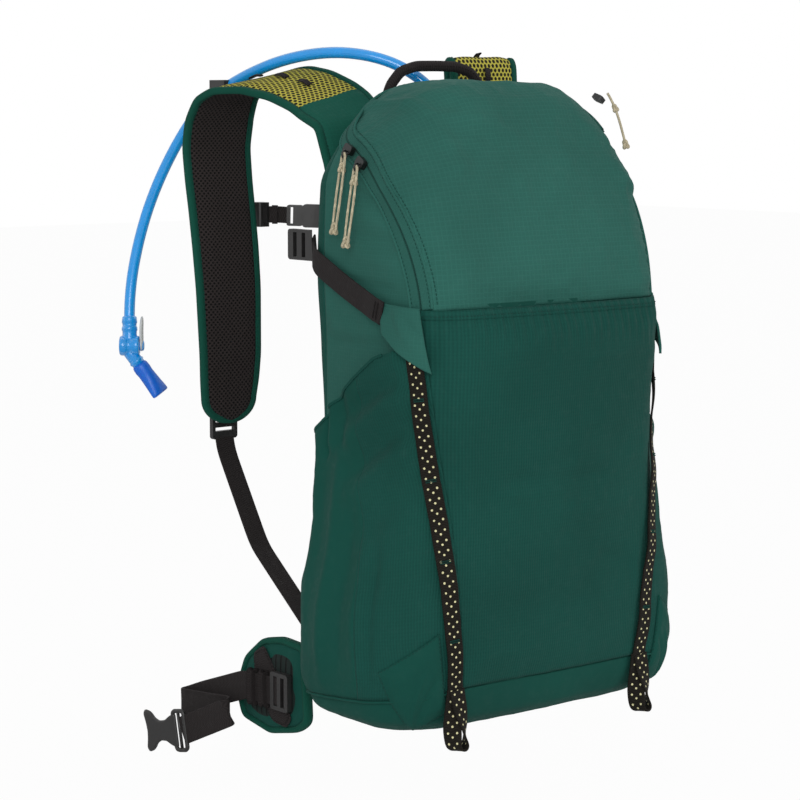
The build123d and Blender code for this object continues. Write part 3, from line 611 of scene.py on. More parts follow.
def clothMaterial(name, colour, weave, distance=.0004, strength=.5, contrast=.82, under=None,
                  fromObject=False, shade=.84, **values):
    shader = {"Roughness": .78, "Sheen_Weight": .015, "Sheen_Roughness": .5, "Specular_IOR_Level": .12}
    material, tree, surface = newMaterial(name, colour, **shader)
    coords = addNode(tree, "TexCoord").outputs
    weaveOut = placeEffect(tree, weave, coords["Object" if fromObject else "UV"], **values)
    age = placeEffect(tree, "age", coords["Object"])
    mask = {"ripstop": "Lines", "rib": "Ribs", "holes": "Holes", "webbing": "Threads"}[weave]
    woven = blendColour(tree, weaveOut[mask], colour, under or darker(colour, contrast))
    mix = addNode(tree, "Mix", data_type="RGBA", blend_type="MULTIPLY")
    mix.inputs[0].default_value = 1
    tree.links.new(woven, mix.inputs[6])
    lift = blendColour(tree, age["Shade"], (shade, shade, shade, 1), (1, 1, 1, 1))
    tree.links.new(lift, mix.inputs[7])
    tree.links.new(mix.outputs[2], surface.inputs["Base Color"])
    tree.links.new(ramp(tree, age["Rub"], 0.0, 1.0, .82, .7), surface.inputs["Roughness"])
    bump = addNode(tree, "Bump", {"Height": weaveOut["Height"], "Distance": distance, "Strength": strength})
    tree.links.new(bump.outputs["Normal"], surface.inputs["Normal"])
    return material


def mouldedMaterial(name, colour, roughness=.42, metallic=0.0, strength=.12, **shader):
    material, tree, surface = newMaterial(name, colour, Metallic=metallic, **shader)
    coords = addNode(tree, "TexCoord").outputs
    grain = placeEffect(tree, "grain", coords["Object"])
    tree.links.new(blendColour(tree, grain["Marks"], darker(colour, .8), colour),
                   surface.inputs["Base Color"])
    tree.links.new(ramp(tree, grain["Marks"], .3, .7, roughness - .08, roughness + .1),
                   surface.inputs["Roughness"])
    bump = addNode(tree, "Bump", {"Height": grain["Height"], "Distance": .0001, "Strength": strength})
    tree.links.new(bump.outputs["Normal"], surface.inputs["Normal"])
    return material


c = colours
upperCloth = clothMaterial("Upper Ripstop", c["upperGreen"], "ripstop", contrast=1.16, strength=.35)
upperSide = clothMaterial("Side Ripstop", c["upperGreen"], "ripstop", contrast=1.1, strength=.25,
                          Pitch=.0034)
lowerCloth = clothMaterial("Stretch Rib", c["lowerGreen"], "rib", contrast=.8, strength=.5)
plainCloth = clothMaterial("Plain Nylon", c["plainGreen"], "rib", contrast=.94, strength=.25, Pitch=.0011,
                           Cross=.0011)
bindingCloth = clothMaterial("Edge Binding", c["binding"], "rib", contrast=.85, strength=.4, Pitch=.0009,
                             Cross=.0011)
strapCloth = clothMaterial("Strap Nylon", c["strapGreen"], "ripstop", contrast=1.1, strength=.3)
tapeCloth = clothMaterial("Zip Tape", c["tapeGreen"], "rib", contrast=.86, strength=.5, Pitch=.0013,
                          Cross=.0021)
coilCloth = clothMaterial("Zip Coil", darker(c["tapeGreen"], .85), "rib", contrast=.45, strength=.8,
                          distance=.0006, Pitch=.1, Cross=.0016)
webbingCloth = clothMaterial("Charcoal Webbing", c["webbing"], "webbing", contrast=.62, strength=.6)
loopCloth = clothMaterial("Tubular Webbing", darker(c["webbing"], .9), "webbing", contrast=.6, strength=.6)
# in these three mesh materials the holes take a dark colour, painted shade inside each hole
meshCloth = clothMaterial("Air Mesh", c["meshDark"], "holes", under=c["meshHoleShade"], strength=.8,
                          distance=.0008,
                          Across=.0046, Along=.0023, Size=.3, Stretch=.62)
spacerCloth = clothMaterial("Spacer Mesh", c["spacer"], "holes", under=c["spacerHoleShade"], strength=.8,
                            distance=.0009, Across=.0046, Along=.0036, Size=.42, Stretch=.8, shade=.9)
padCloth = clothMaterial("Pad Mesh", c["backDark"], "holes", under=c["meshHoleShade"], strength=.8,
                         distance=.0008,
                         fromObject=True, Across=.0042, Along=.0036, Size=.3)
liningCloth = clothMaterial("Lining", c["lining"], "ripstop", contrast=.9, strength=.3)
threadCloth = clothMaterial("Sewing Thread", c["threadGreen"], "webbing", contrast=.7, fromObject=True,
                            Pitch=.0006, Across=.001)
darkThread = clothMaterial("Dark Thread", darker(c["webbing"], .6), "webbing", contrast=.7, fromObject=True,
                           Pitch=.0006, Across=.001)
cordCloth = clothMaterial("Braided Cord", c["cord"], "webbing", contrast=.72, fromObject=True, strength=.7,
                          Pitch=.0014, Across=.0012, shade=.92)
buckleShine = mouldedMaterial("Black Acetal", c["plastic"], .44)
sliderShine = mouldedMaterial("Painted Zinc", c["metal"], .34, metallic=.85)
leverShine = mouldedMaterial("Lever Plastic", c["lever"], .34, Coat_Weight=.3)
capShine = mouldedMaterial("Cap Plastic", c["cap"], .4)
siliconeShine = mouldedMaterial("Bite Silicone", c["silicone"], .46, Subsurface_Weight=.2,
                                Subsurface_Scale=.004)
valveShine = mouldedMaterial("Valve Plastic", c["hose"], .25, Transmission_Weight=.1, Coat_Weight=.4)
hoseShine = mouldedMaterial("Blue Tube", c["hose"], .2, strength=.04, Coat_Weight=.5)
bladderShine = mouldedMaterial("Clear Film", c["bladder"], .25, Transmission_Weight=.35, Coat_Weight=.3)


def makeChainCloth():
    material = clothMaterial("Flecked Webbing", c["chain"], "webbing", contrast=.55, strength=.6)
    tree, surface = material.node_tree, material.node_tree.nodes["Principled BSDF"]
    coords = addNode(tree, "TexCoord").outputs
    flecks = placeEffect(tree, "flecks", coords["UV"], Middle=chain["middle"] * mm, Face=chain["face"] * mm)
    ground = surface.inputs["Base Color"].links[0].from_socket
    tree.links.new(blendColour(tree, flecks["Flecks"], ground, c["fleck"]), surface.inputs["Base Color"])
    return material


def pushOut(points, amount):
    return points + outward(points) * np.broadcast_to(amount, points.shape[:2])[..., None]


def lined(piece, thick=1.6):
    piece.data.materials.append(liningCloth)
    shell = piece.modifiers.new("thickness", "SOLIDIFY")
    shell.thickness, shell.offset, shell.material_offset = thick * mm, -1, 1
    return piece


# zipped front
front = {
    "rows": 130, "columns": 190, "edge": 7.4, "hemGap": .008, "crease": 2.6, "creaseSize": 74,
    "fine": 1.0, "fineSize": 30, "pucker": .9, "puckerPitch": 11, "puckerReach": 9,
    "edgeRoll": 1.5, "rollReach": 3.2, "proud": .6,
    "folds": [  # across (x), height (h) from and to, half width, height of the fold
        (-92, 512, -88, 500, 5, 3.0), (-88, 500, -30, 497, 5, 2.2), (-88, 500, -84, 450, 8, 2.4),
        (-84, 486, -40, 482, 7, -2.2), (-100, 470, -60, 476, 6, -1.8), (-104, 452, -70, 462, 6, 1.5),
        (60, 492, 100, 476, 8, 1.6), (92, 470, 118, 452, 7, -2.6), (84, 455, 116, 436, 6, 1.8),
        (96, 438, 124, 424, 5, -1.8), (-80, 440, 40, 446, 26, 1.6), (-60, 372, 70, 380, 14, .9),
        (-100, 354, 60, 352, 6, -1.2), (70, 356, 120, 366, 7, 1.2)],
}
angles = np.linspace(hemAngle + front["hemGap"], rearAngle, front["rows"])
flap = np.stack([archRow(a, front["edge"], front["columns"]) for a in angles])
flapUv = gridUv(flap)
column = np.arange(front["columns"])
columnWide = np.linalg.norm(np.diff(flap, axis=1), axis=2).mean(axis=1)[:, None]
edgeOff = np.minimum(column, column[::-1])[None, :] * columnWide  # how far in from the zip
relief = front["crease"] * crumple(flapUv[..., 0], flapUv[..., 1] * 1.3, front["creaseSize"], 3)
relief += front["fine"] * crumple(flapUv[..., 0] + 40, flapUv[..., 1], front["fineSize"], 8)
relief += foldsAt(flap[..., 0], flap[..., 2], front["folds"])
puckerTurn = flapUv[..., 1] / front["puckerPitch"] * 2 * math.pi
puckerTurn = puckerTurn + 2 * softNoise(flapUv[..., 1] / 23, edgeOff * 0, 4)
relief += front["pucker"] * np.sin(puckerTurn) * np.exp(-edgeOff / front["puckerReach"])
relief *= np.clip(edgeOff / 12 + .25, 0, 1)
relief += front["edgeRoll"] * np.exp(-(edgeOff / front["rollReach"]) ** 2) + front["proud"]
flap = pushOut(flap, relief)
frontCloth = lined(gridPiece("frontPanelCloth", flap, upperCloth, flapUv))
sewOn(frontCloth, "flap", "upper_fabric", "front_flap")
edgeNormals = outward(flap)
flapStitches = [threadRun("flapEdgeStitches%d" % k, flap[2:, col], edgeNormals[2:, col], threadCloth)
                for k, col in enumerate((3, -4))]
flapStitches.append(threadRun("flapTopStitches", flap[-3], edgeNormals[-3], threadCloth))
sewOn(joinPieces("flapStitches", flapStitches), "flap", "upper_fabric")
print("front panel made")

# side panels
sidePanel = {
    "top": 498, "foot": 32, "rows": 150, "columns": 60, "crease": 1.1,
    "folds": [  # front to back (y), height (h) from and to, half width, height of the fold
        (22, 440, -34, 428, 5, -2.4), (16, 424, -40, 410, 6, 1.8), (26, 404, -46, 396, 6, -2.6),
        (10, 388, -50, 380, 7, 1.8), (24, 366, -48, 360, 5, -2.0), (46, 470, 18, 452, 6, 1.4),
        (48, 330, -20, 320, 10, 1.6), (50, 312, -30, 316, 5, -1.6), (44, 346, 0, 330, 6, -1.2)],
}
for side, name in ((-1, "left"), (1, "right")):
    heights = np.linspace(sidePanel["foot"], sidePanel["top"], sidePanel["rows"])
    panel = []
    for h in heights:
        if h < bag["hem"]:
            begin = abs(shareAtX(h, frontSeam(h)))
        else:
            begin = shareAtY(h, zipY(h) + 5)
        end = shareAtY(h, bag["rearSeam"])
        panel.append(skinPoint(h, side * np.linspace(min(begin, end), end, sidePanel["columns"])))
    panel = np.stack(panel)
    y, h = panel[..., 1], panel[..., 2]
    lift = sidePanel["crease"] * crumple(y, h, 60, 21) + foldsAt(y, h, sidePanel["folds"])
    column = np.arange(sidePanel["columns"])
    lift *= np.clip(column / 6, 0, 1) * np.clip(column[::-1] / 5, 0, 1)
    panel = pushOut(panel, lift)
    cloth = gridPiece("sidePanelCloth_" + name, panel, upperSide, panel[..., 1:], flip=side < 0)
    sewOn(lined(cloth), "pack", "upper_fabric", "side_panel_" + name)

# back panel, base and inner front wall
backPanel = {"rows": 130, "columns": 120, "foot": 15, "top": 515.5, "dish": 3.0, "dishWide": 12,
             "crease": .5}
rows = []
for h in np.linspace(backPanel["foot"], backPanel["top"], backPanel["rows"]):
    edge = min(bag["rearSeam"] + max(0, h - 497) * .22, 53)
    begin = shareAtY(h, edge)
    rows.append(skinPoint(h, np.linspace(begin, 2 - begin, backPanel["columns"])))
back = np.stack(rows)
x, h = back[..., 0], back[..., 2]
dish = np.exp(-(x / backPanel["dishWide"]) ** 2)  # a shallow channel up the middle
relief = (-backPanel["dish"] * dish * np.clip((h - 60) / 60, 0, 1) * np.clip((430 - h) / 60, 0, 1)
          + backPanel["crease"] * crumple(x, h, 50, 31))
back = pushOut(back, relief * np.clip(np.clip(1 - (x / 120) ** 2, 0, 1) * 3, 0, 1))
backCloth = clothMaterial("Back Fabric", c["plainGreen"], "ripstop", contrast=1.1, strength=.3)
sewOn(lined(gridPiece("backPanelCloth", back, backCloth, back[..., ::2])),
      "pack", "back_fabric", "back_panel")

baseShape = {"columns": 240, "sideRows": 22, "floorRows": 30, "rise": .4, "crease": .8, "roll": 1.4}
spread = np.linspace(-1, 1, baseShape["columns"], endpoint=False)
ringY = skinPoint(30.0, spread)[:, 1]
sideRows = baseShape["sideRows"]
rows = [skinPoint(baseSeam(ringY) * t, spread) for t in np.linspace(1, 0, sideRows)]
rim = rows[-1]
for t in np.linspace(.985, .02, baseShape["floorRows"]):
    row = rim * [t, 1, 1]
    row[:, 1] = (rim[:, 1] + 5) * t - 5
    row[:, 2] = baseShape["rise"] * (1 - t)
    rows.append(row)
base = np.stack(rows)
lift = baseShape["crease"] * crumple(base[..., 0], base[..., 1] + base[..., 2], 44, 41)
lift[:sideRows] += baseShape["roll"] * np.sin(np.linspace(0, math.pi, sideRows))[:, None]
base[:sideRows] += outward(base[:sideRows]) * lift[:sideRows, :, None]
baseCloth = gridPiece("baseCloth", base, plainCloth, closed=True, thick=1.8, flip=True)
sewOn(baseCloth, "pack", "base_fabric", "base_panel")
innerWall = {"foot": 36, "top": 350, "rows": 60, "sunk": .4, "thick": 1.2}
wall = np.stack([skinPoint(h, np.linspace(-1, 1, innerWall["rows"]) * abs(shareAtX(h, frontSeam(h))))
                 for h in np.linspace(innerWall["foot"], innerWall["top"], innerWall["rows"])])
sewOn(lined(gridPiece("innerFrontWall", pushOut(wall, -innerWall["sunk"]), plainCloth), innerWall["thick"]),
      "pack", "base_fabric", "front_wall")
print("side, back and base panels made")

# stash pocket
stash = {
    "rows": 120, "columns": 150, "skin": 1.2, "puff": 16, "tuck": 8, "tuckFrom": 320, "crease": 1.3,
    "fine": .35, "gather": 1.0, "gatherPitch": 9, "foot": 3.5, "footSpan": 60, "hemBand": 9,
    "folds": [  # across (x), height (h)
        (-60, 205, 40, 200, 7, -1.4), (-70, 196, 10, 188, 8, 1.5), (-20, 170, 80, 176, 10, 1.3),
        (-86, 120, 20, 112, 12, 1.4), (30, 250, 90, 240, 10, 1.2), (-90, 290, -20, 300, 9, -1.2),
        (40, 130, 88, 120, 8, -1.2), (20, 300, 96, 312, 8, 1.3)],
}


def stashLift(x, h):
    rise = np.clip((h - bag["seamFront"]) / (bag["hem"] - bag["seamFront"]), 0, 1)
    bulge = np.clip(1 - (x / (frontSeam(np.asarray(h, float)) + 6)) ** 2, 0, 1)
    nearHem = np.clip((h - stash["tuckFrom"]) / (bag["hem"] - stash["tuckFrom"]), 0, 1) ** 2
    return stash["skin"] + stash["puff"] * rise * bulge - stash["tuck"] * nearHem * bulge


rows = []
for h in np.linspace(bag["seamFront"], bag["hem"], stash["rows"]):
    edge = abs(shareAtX(h, frontSeam(h)))
    rows.append(skinPoint(h, np.linspace(-edge, edge, stash["columns"])))
pocket = np.stack(rows)
x, h = pocket[..., 0], pocket[..., 2]
relief = stashLift(x, h) + stash["crease"] * crumple(x, h * 1.6, 62, 51)
relief += stash["fine"] * crumple(x, h, 17, 52)
relief += foldsAt(x, h, stash["folds"])
gatherTurn = x / stash["gatherPitch"] * 2 * math.pi + 3 * softNoise(x / 31, h / 90, 6)
relief += stash["gather"] * np.sin(gatherTurn) * np.exp(-((h - bag["hem"] + 12) / 16) ** 2)
footTurn = np.clip((h - bag["seamFront"]) / stash["footSpan"], 0, 1) * math.pi
relief += stash["foot"] * np.sin(footTurn) * np.clip(1 - (x / 96) ** 4, 0, 1)
nearEdge = np.minimum(np.arange(stash["columns"]), np.arange(stash["columns"])[::-1])[None, :]
relief = stash["skin"] + (relief - stash["skin"]) * np.clip(nearEdge / 9, 0, 1)
pocket = pushOut(pocket, relief)
stashUv = np.stack([x, h], axis=-1)
sewOn(gridPiece("stashPocketCloth", pocket, lowerCloth, stashUv, thick=1.4), "pack", "lower_fabric",
      "stash_pocket")
hemNormals = outward(pocket)
hemRows = slice(-int(stash["hemBand"] / (bag["hem"] - bag["seamFront"]) * stash["rows"]) - 1, None)
hemBand = pocket[hemRows] + hemNormals[hemRows] * .9
sewOn(gridPiece("stashHem", hemBand, lowerCloth, stashUv[hemRows], thick=1.8), "pack", "lower_fabric")
sewOn(threadRun("hemStitches", hemBand[1], hemNormals[-1], threadCloth, lift=.2), "pack", "lower_fabric")

# side pockets
sidePocket = {
    "rows": 110, "columns": 110, "skin": 1.2, "puff": 15, "riseSpan": 263, "rear": 60,
    "plainFrom": .47, "hemFrom": 26, "crease": 1.0, "fine": .3, "flatFront": 9, "flatRear": 5,
    "mouth": [(-90, 324), (-70, 319), (-35, 306), (-8, 285), (20, 262), (44, 242), (60, 230), (80, 224)],
    "folds": [  # front to back (y), height (h)
        (9, 34, 10, 226, 7, 3.0), (-14, 36, -12, 190, 9, -3.4), (-37, 44, -32, 170, 7, 2.6),
        (-51, 44, -47, 150, 5, -3.0), (32, 40, 30, 200, 9, -2.0), (27, 266, 33, 214, 5, -5.0),
        (20, 270, 22, 222, 6, 3.6), (11, 276, 6, 226, 7, -4.4), (-66, 296, 4, 254, 10, -5.2),
        (-58, 280, 10, 228, 9, 4.4), (-74, 262, -4, 204, 11, -5.4), (-70, 240, 4, 178, 12, 4.0),
        (-80, 214, -24, 156, 12, -3.4), (48, 246, 42, 170, 9, 3.4), (56, 232, 54, 120, 8, -2.8)],
}


def sideLift(points):
    _, fore, aft, _ = sectionAt(points[..., 2])
    centre, half = (aft - fore) / 2, (aft + fore) / 2
    rise = np.clip((points[..., 2] - bag["seamBack"]) / sidePocket["riseSpan"], 0, 1)
    off = np.clip(1 - ((points[..., 1] - centre) / half) ** 2, 0, 1)
    return sidePocket["skin"] + sidePocket["puff"] * rise * off


mouthY, mouthH = np.array(sidePocket["mouth"], float).T
for side, name in ((-1, "left"), (1, "right")):
    columns = []
    for t in np.linspace(0, 1, sidePocket["columns"]):
        path, h = [], None
        begin, end = abs(shareAtX(200, frontSeam(200))), shareAtY(200, sidePocket["rear"])
        y = skinPoint(200.0, side * (begin + (end - begin) * t))[1]
        for v in np.linspace(0, 1, sidePocket["rows"]):
            h = baseSeam(y) + v * (np.interp(y, mouthY, mouthH) - baseSeam(y))
            begin, end = abs(shareAtX(h, frontSeam(h))), shareAtY(h, sidePocket["rear"])
            point = skinPoint(h, side * (begin + (end - begin) * t))
            y = point[1]
            path.append(point)
        columns.append(path)
    pocket = np.array(columns).transpose(1, 0, 2)
    y, h = pocket[..., 1], pocket[..., 2]
    besideChain = np.clip((np.abs(pocket[..., 0]) - 110) / 14, 0, 1)
    lift = sideLift(pocket) + foldsAt(y, h, sidePocket["folds"]) * besideChain
    lift += (sidePocket["crease"] * crumple(y, h * .8, 52, 61 + side)
             + sidePocket["fine"] * crumple(y, h, 15, 63))
    column, flatFront = np.arange(sidePocket["columns"]), sidePocket["flatFront"]
    nearFront = np.clip((column - flatFront) / flatFront, 0, 1)  # flat under the chain
    nearRear = np.clip(column[::-1] / sidePocket["flatRear"], .35, 1)
    lift = sidePocket["skin"] + (lift - sidePocket["skin"]) * nearFront * nearRear
    pocket = pushOut(pocket, lift)
    uv = gridUv(pocket)
    cut = int(sidePocket["plainFrom"] * sidePocket["columns"])
    for part, span, material, slotName in (("rib", slice(0, cut + 1), lowerCloth, "lower_fabric"),
                                           ("plain", slice(cut, None), plainCloth, "base_fabric")):
        piece = gridPiece("sidePocket_%s_%s" % (part, name), pocket[:, span], material, uv[:, span],
                          thick=1.3, flip=side < 0)
        sewOn(piece, "pack", slotName, "side_pocket_" + name)
    lip = pocket[-1, sidePocket["hemFrom"]:]
    sewOn(sweepPiece("sidePocketHem_" + name, lip + outward(lip) * .4, outward(lip), flatSection(2.6, 1.5),
                     lowerCloth),
          "pack", "lower_fabric")
    foot = pocket[0] + outward(pocket[0]) * .5
    sewOn(sweepPiece("sidePocketFoot_" + name, foot, outward(pocket[0]), circle(1.1, 8), plainCloth),
          "pack", "base_fabric")

# corner gussets and hem triangles, with their stitches
corners = {
    "gussetRear": [(-59, 54), (-63, 4)],  # front to back (y), height (h)
    "gussetFront": [(124, 86), (112, 20)],  # across (x), height (h)
    "gussetLift": 2.6, "gussetPuff": 1.6,
    "gussetFolds": [(.1, .9, .7, .35, .05, 1.6), (.2, .95, .9, .5, .06, -1.6), (.1, .3, .8, .2, .1, 1.2)],
    "triangle": [(-31, 350), (-71, 347), (-80, 296), (-38, 326)], "triangleLift": 3.0,
    "triangleFolds": [(-50, 346, -72, 312, 4, 1.6), (-60, 338, -76, 322, 3, -1.4)],
}
for side, name in ((-1, "left"), (1, "right")):
    a, d = [(side * shareAtY(h, y), h) for y, h in corners["gussetRear"]]
    b, e = [(side * abs(shareAtX(h, x)), h) for x, h in corners["gussetFront"]]
    u, v = np.meshgrid(np.linspace(0, 1, 50), np.linspace(0, 1, 50))
    s = (a[0] * (1 - u) + b[0] * u) * (1 - v) + (d[0] * (1 - u) + e[0] * u) * v
    h = (a[1] * (1 - u) + b[1] * u) * (1 - v) + (d[1] * (1 - u) + e[1] * u) * v
    gusset = skinPoint(h, s)
    rim = np.minimum(np.minimum(u, 1 - u), np.minimum(v, 1 - v))
    lift = corners["gussetLift"] + corners["gussetPuff"] * np.clip(rim / .12, 0, 1)
    lift = lift + foldsAt(u, v, corners["gussetFolds"])
    gusset = pushOut(gusset, lift)
    sewOn(gridPiece("cornerGusset_" + name, gusset, plainCloth, thick=2.4, flip=side < 0), "pack",
          "base_fabric")
    rimLine = np.concatenate([gusset[0], gusset[1:, -1], gusset[-1, -2::-1], gusset[-2:0:-1, 0]])
    inner = rimLine * .97 + gusset.reshape(-1, 3).mean(axis=0) * .03
    sewOn(threadRun("gussetStitches_" + name, inner, outward(inner), threadCloth, lift=.3), "pack",
          "base_fabric")
print("pockets made")


def sidePoint(y, h, side, lift=0.0):  # a place on a side panel, that far off it
    point = skinPoint(float(h), side * shareAtY(h, y))
    return point + outward(point[None])[0] * lift


def surfaceLine(places, side, lift, count):
    line = smoothLine(places, count, 4)
    return np.array([sidePoint(y, h, side, lift) for y, h in line])


for side, name in ((-1, "left"), (1, "right")):
    q = [np.array(p, float) for p in corners["triangle"]]
    rows = []
    for v in np.linspace(0, 1, 24):  # from the hem down to the point on the front seam
        begin, end = q[0] * (1 - v) + q[3] * v, q[1] * (1 - v) + q[2] * v
        rows.append([sidePoint(*(begin * (1 - t) + end * t), side) for t in np.linspace(0, 1, 24)])
    patch = np.array(rows)
    y, h = patch[..., 1], patch[..., 2]
    lift = (corners["triangleLift"] + sideLift(patch) * np.clip((350 - h) / 60, 0, .8)
            + foldsAt(y, h, corners["triangleFolds"]))
    patch = pushOut(patch, lift)
    sewOn(gridPiece("hemTriangle_" + name, patch, upperSide, thick=2.2, flip=side > 0), "pack",
          "upper_fabric")
    rim = np.concatenate([patch[-1], patch[-2::-1, -1]])
    sewOn(threadRun("triangleStitches_" + name, rim * .985 + patch[8, 12] * .015, outward(rim), threadCloth,
                    lift=.3),
          "pack", "upper_fabric")

# main zip: two tapes, each with its row of coils
zipSides = []
for side in (-1, 1):
    line = []
    for a in np.linspace(hemAngle, rearAngle, 90):
        arch = archRow(a, 0, 3)
        line.append(arch[0] if side < 0 else arch[-1])
    zipSides.append(np.array(line))
across = archRow(rearAngle, 0, 60)
zipTrack = np.concatenate([zipSides[0], across[1:-1], zipSides[1][::-1]])
zipTrack = smoothLine(zipTrack, 420, 3)
zipNormal = outward(zipTrack)
zipSideways = np.cross(tangents(zipTrack), zipNormal)
towardsFlap = 1 if zipSideways[60] @ (zipTrack[60] - hub) > 0 else -1
tapeSection = [(-4.4, -.9), (-4.4, .2), (-3, .7), (2.4, .9), (3.6, 1.5), (4.3, .9), (4.4, -.2), (4.2, -.9)]
coilSection = [(-1, -.6), (1, -.6), (.95, .3), (0, .75), (-.95, .3)]
for part, way, body in (("flap", towardsFlap, "flap"), ("body", -towardsFlap, "pack")):
    line = zipTrack + zipSideways * way * 4.7 + zipNormal * mainZip["lift"]
    section = [(-x * way, y) for x, y in tapeSection]
    tape = sweepPiece("zipTape_" + part, line, zipNormal, section[::way], tapeCloth)
    sewOn(tape, body, "zip_tape", "zip_tape_" + part)
    coil = zipTrack + zipSideways * way * 1.1 + zipNormal * (mainZip["lift"] + .7)
    sewOn(sweepPiece("zipCoil_" + part, coil, zipNormal, coilSection, coilCloth), body, "zip_tape")
    seam = zipTrack + zipSideways * way * 7.6 + zipNormal * (mainZip["lift"] + .4)
    sewOn(threadRun("zipStitches_" + part, seam, zipNormal, threadCloth), body, "zip_tape")
    lip = zipTrack + zipSideways * way * 9.2 + zipNormal * .9
    sewOn(sweepPiece("zipLip_" + part, lip, zipNormal, circle(1.35, 8), upperSide), body, "upper_fabric")

# small pocket zip on the right of the crown
pocketZip = {"from": (91.5, -44, 470), "to": (83.5, 30, 470), "lean": .28, "reach": 80.0, "wide": 9}
zipFrom, zipTo = np.array(pocketZip["from"], float), np.array(pocketZip["to"], float)
line = []
for t in np.linspace(0, 1, 40):  # cast up to the skin from a line inside the bag
    start = zipFrom + (zipTo - zipFrom) * t
    line.append(castOut(start, np.array([[pocketZip["lean"], 0, 1.0]]), pocketZip["reach"])[0])
line = smoothLine(line, 60, 3)
normal = outward(line)
sewOn(sweepPiece("pocketZipTape", line + normal * .8, normal, flatSection(pocketZip["wide"], 1.5),
                 tapeCloth),
      "flap", "zip_tape", "pocket_zip")
sewOn(sweepPiece("pocketZipCoil", line + normal * 1.7, normal, flatSection(3, 1.2), coilCloth), "flap",
      "zip_tape")

# compression straps
compress = {
    "wide": 20, "thick": 1.7, "rise": 1.9, "steps": 70, "tacks": (3, 5),
    # front to back (y), height (h)
    "line": [(-37, 342), (-8, 351), (24, 364), (56, 378), (74, 387), (79, 390)],
    "proudAt": [0, 6, 16, 40, 62, 69], "proud": [6.0, 5.4, 2.0, 1.2, 1.6, 3.2],
}
for side, name in ((-1, "left"), (1, "right")):
    line = surfaceLine(compress["line"], side, compress["rise"], compress["steps"])
    proud = np.interp(np.arange(compress["steps"]), compress["proudAt"], compress["proud"])
    line += outward(line) * proud[:, None]
    section = flatSection(compress["wide"], compress["thick"])
    sewOn(sweepPiece("compressionStrap_" + name, line, outward(line), section, webbingCloth),
          "pack", "webbing", "compression_strap_" + name)
    tacks = []
    for at in compress["tacks"]:
        spot = line[at] + outward(line[at:at + 1])[0] * 1.0
        sideways = np.cross(tangents(line)[at], outward(line)[at])
        tacks.append(threadRun("tack", [spot - sideways * 8, spot + sideways * 8], outward(line)[at],
                               darkThread,
                               pitch=1.0, long=.9, radius=.5))
    sewOn(joinPieces("compressionTacks_" + name, tacks), "pack", "webbing")

# daisy chains and their hanging loops
chain = {
    "wide": 15, "thick": 1.8, "top": 313, "foot": 34, "steps": 130, "lift": 2.8, "wave": 1.2,
    "tackPitch": 65,
    "outwards": {"left": 11, "right": 2}, "loopWide": 13, "loopLow": -11, "loopSteps": 110,
}
chain["middle"] = math.pi * chain["thick"] / 2 + chain["wide"] / 2 - chain["thick"] / 2
chain["face"] = math.pi * chain["thick"] / 2 + chain["wide"] - chain["thick"]
chainCloth = makeChainCloth()
chainSection = flatSection(chain["wide"], chain["thick"])
ahead = np.array([0, -1.0, 0])  # straight out of the pack's front


def halfRound(h):  # half the way round the bag at that height
    return np.linalg.norm(np.diff(rings[int(round(h / 2.0))], axis=0), axis=1).sum()


for side, name in ((-1, "left"), (1, "right")):
    heights = np.linspace(chain["top"], chain["foot"], chain["steps"])
    line = []
    for h in heights:
        share = abs(shareAtX(h, frontSeam(h) - 1)) + chain["outwards"][name] / halfRound(h)
        line.append(skinPoint(float(h), side * share))
    line = np.array(line)
    wave = chain["wave"] * np.sin((heights - chain["foot"]) / chain["tackPitch"] * 2 * math.pi - 1.6)
    line += outward(line) * (stash["skin"] + chain["lift"] + np.maximum(wave, -.4))[:, None]
    flat = unit(smoothLine(outward(line), chain["steps"], 10))
    runOut = sweepPiece("daisyChain_" + name, line, flat, chainSection, chainCloth)
    top, half = line[-1], chain["loopWide"] / 2
    low = chain["loopLow"] + half
    x, y, foot = top[0], top[1] - .5, chain["foot"]
    loopLine = [(x - 1.0, y, foot + 4), (x - 2.2, y, foot - 6), (x - half + .8, y - 1, low + 14)]
    loopLine += [(x + half * math.cos(a), y - 2, low + half * math.sin(a))
                 for a in np.linspace(math.pi, 2 * math.pi, 13)]
    loopLine += [(x + half - .8, y - 2.5, low + 14), (x + 2.2, y - 2, foot - 6), (x + 1.0, y - 1, foot + 4)]
    loopLine = smoothLine(loopLine, chain["loopSteps"], 10)
    away = np.cross(tangents(loopLine), ahead)
    twist = np.clip(1 - np.abs(np.linspace(-1, 1, chain["loopSteps"])), 0, 1)
    turnBy = np.interp(twist, [0, .25, .7, 1], [0, .05, .55, .9])[:, None]
    facing = unit(away * turnBy + ahead * (1 - turnBy))
    hanging = sweepPiece("chainLoop_" + name, loopLine + 5.0 * ahead * turnBy, facing, chainSection,
                         chainCloth)
    sewOn(joinPieces("daisyChain_" + name, [runOut, hanging]),
          "pack", "chain_webbing", "daisy_chain_" + name)
    tacks = []
    for h in np.arange(chain["top"] - 38, chain["foot"], -chain["tackPitch"]):
        k = int(np.argmin(np.abs(heights - h)))
        spot = line[k] + flat[k] * 1.0
        way = tangents(line)[k]
        sideways = np.cross(way, flat[k])
        for lean in (-.8, .8):
            ends = [spot - sideways * 5 + way * lean, spot + sideways * 5 + way * lean]
            tacks.append(threadRun("tack", ends, flat[k], threadCloth, pitch=.9, long=.8, radius=.55))
    sewOn(joinPieces("chainTacks_" + name, tacks), "pack", "chain_webbing")
print("zips and webbing made")

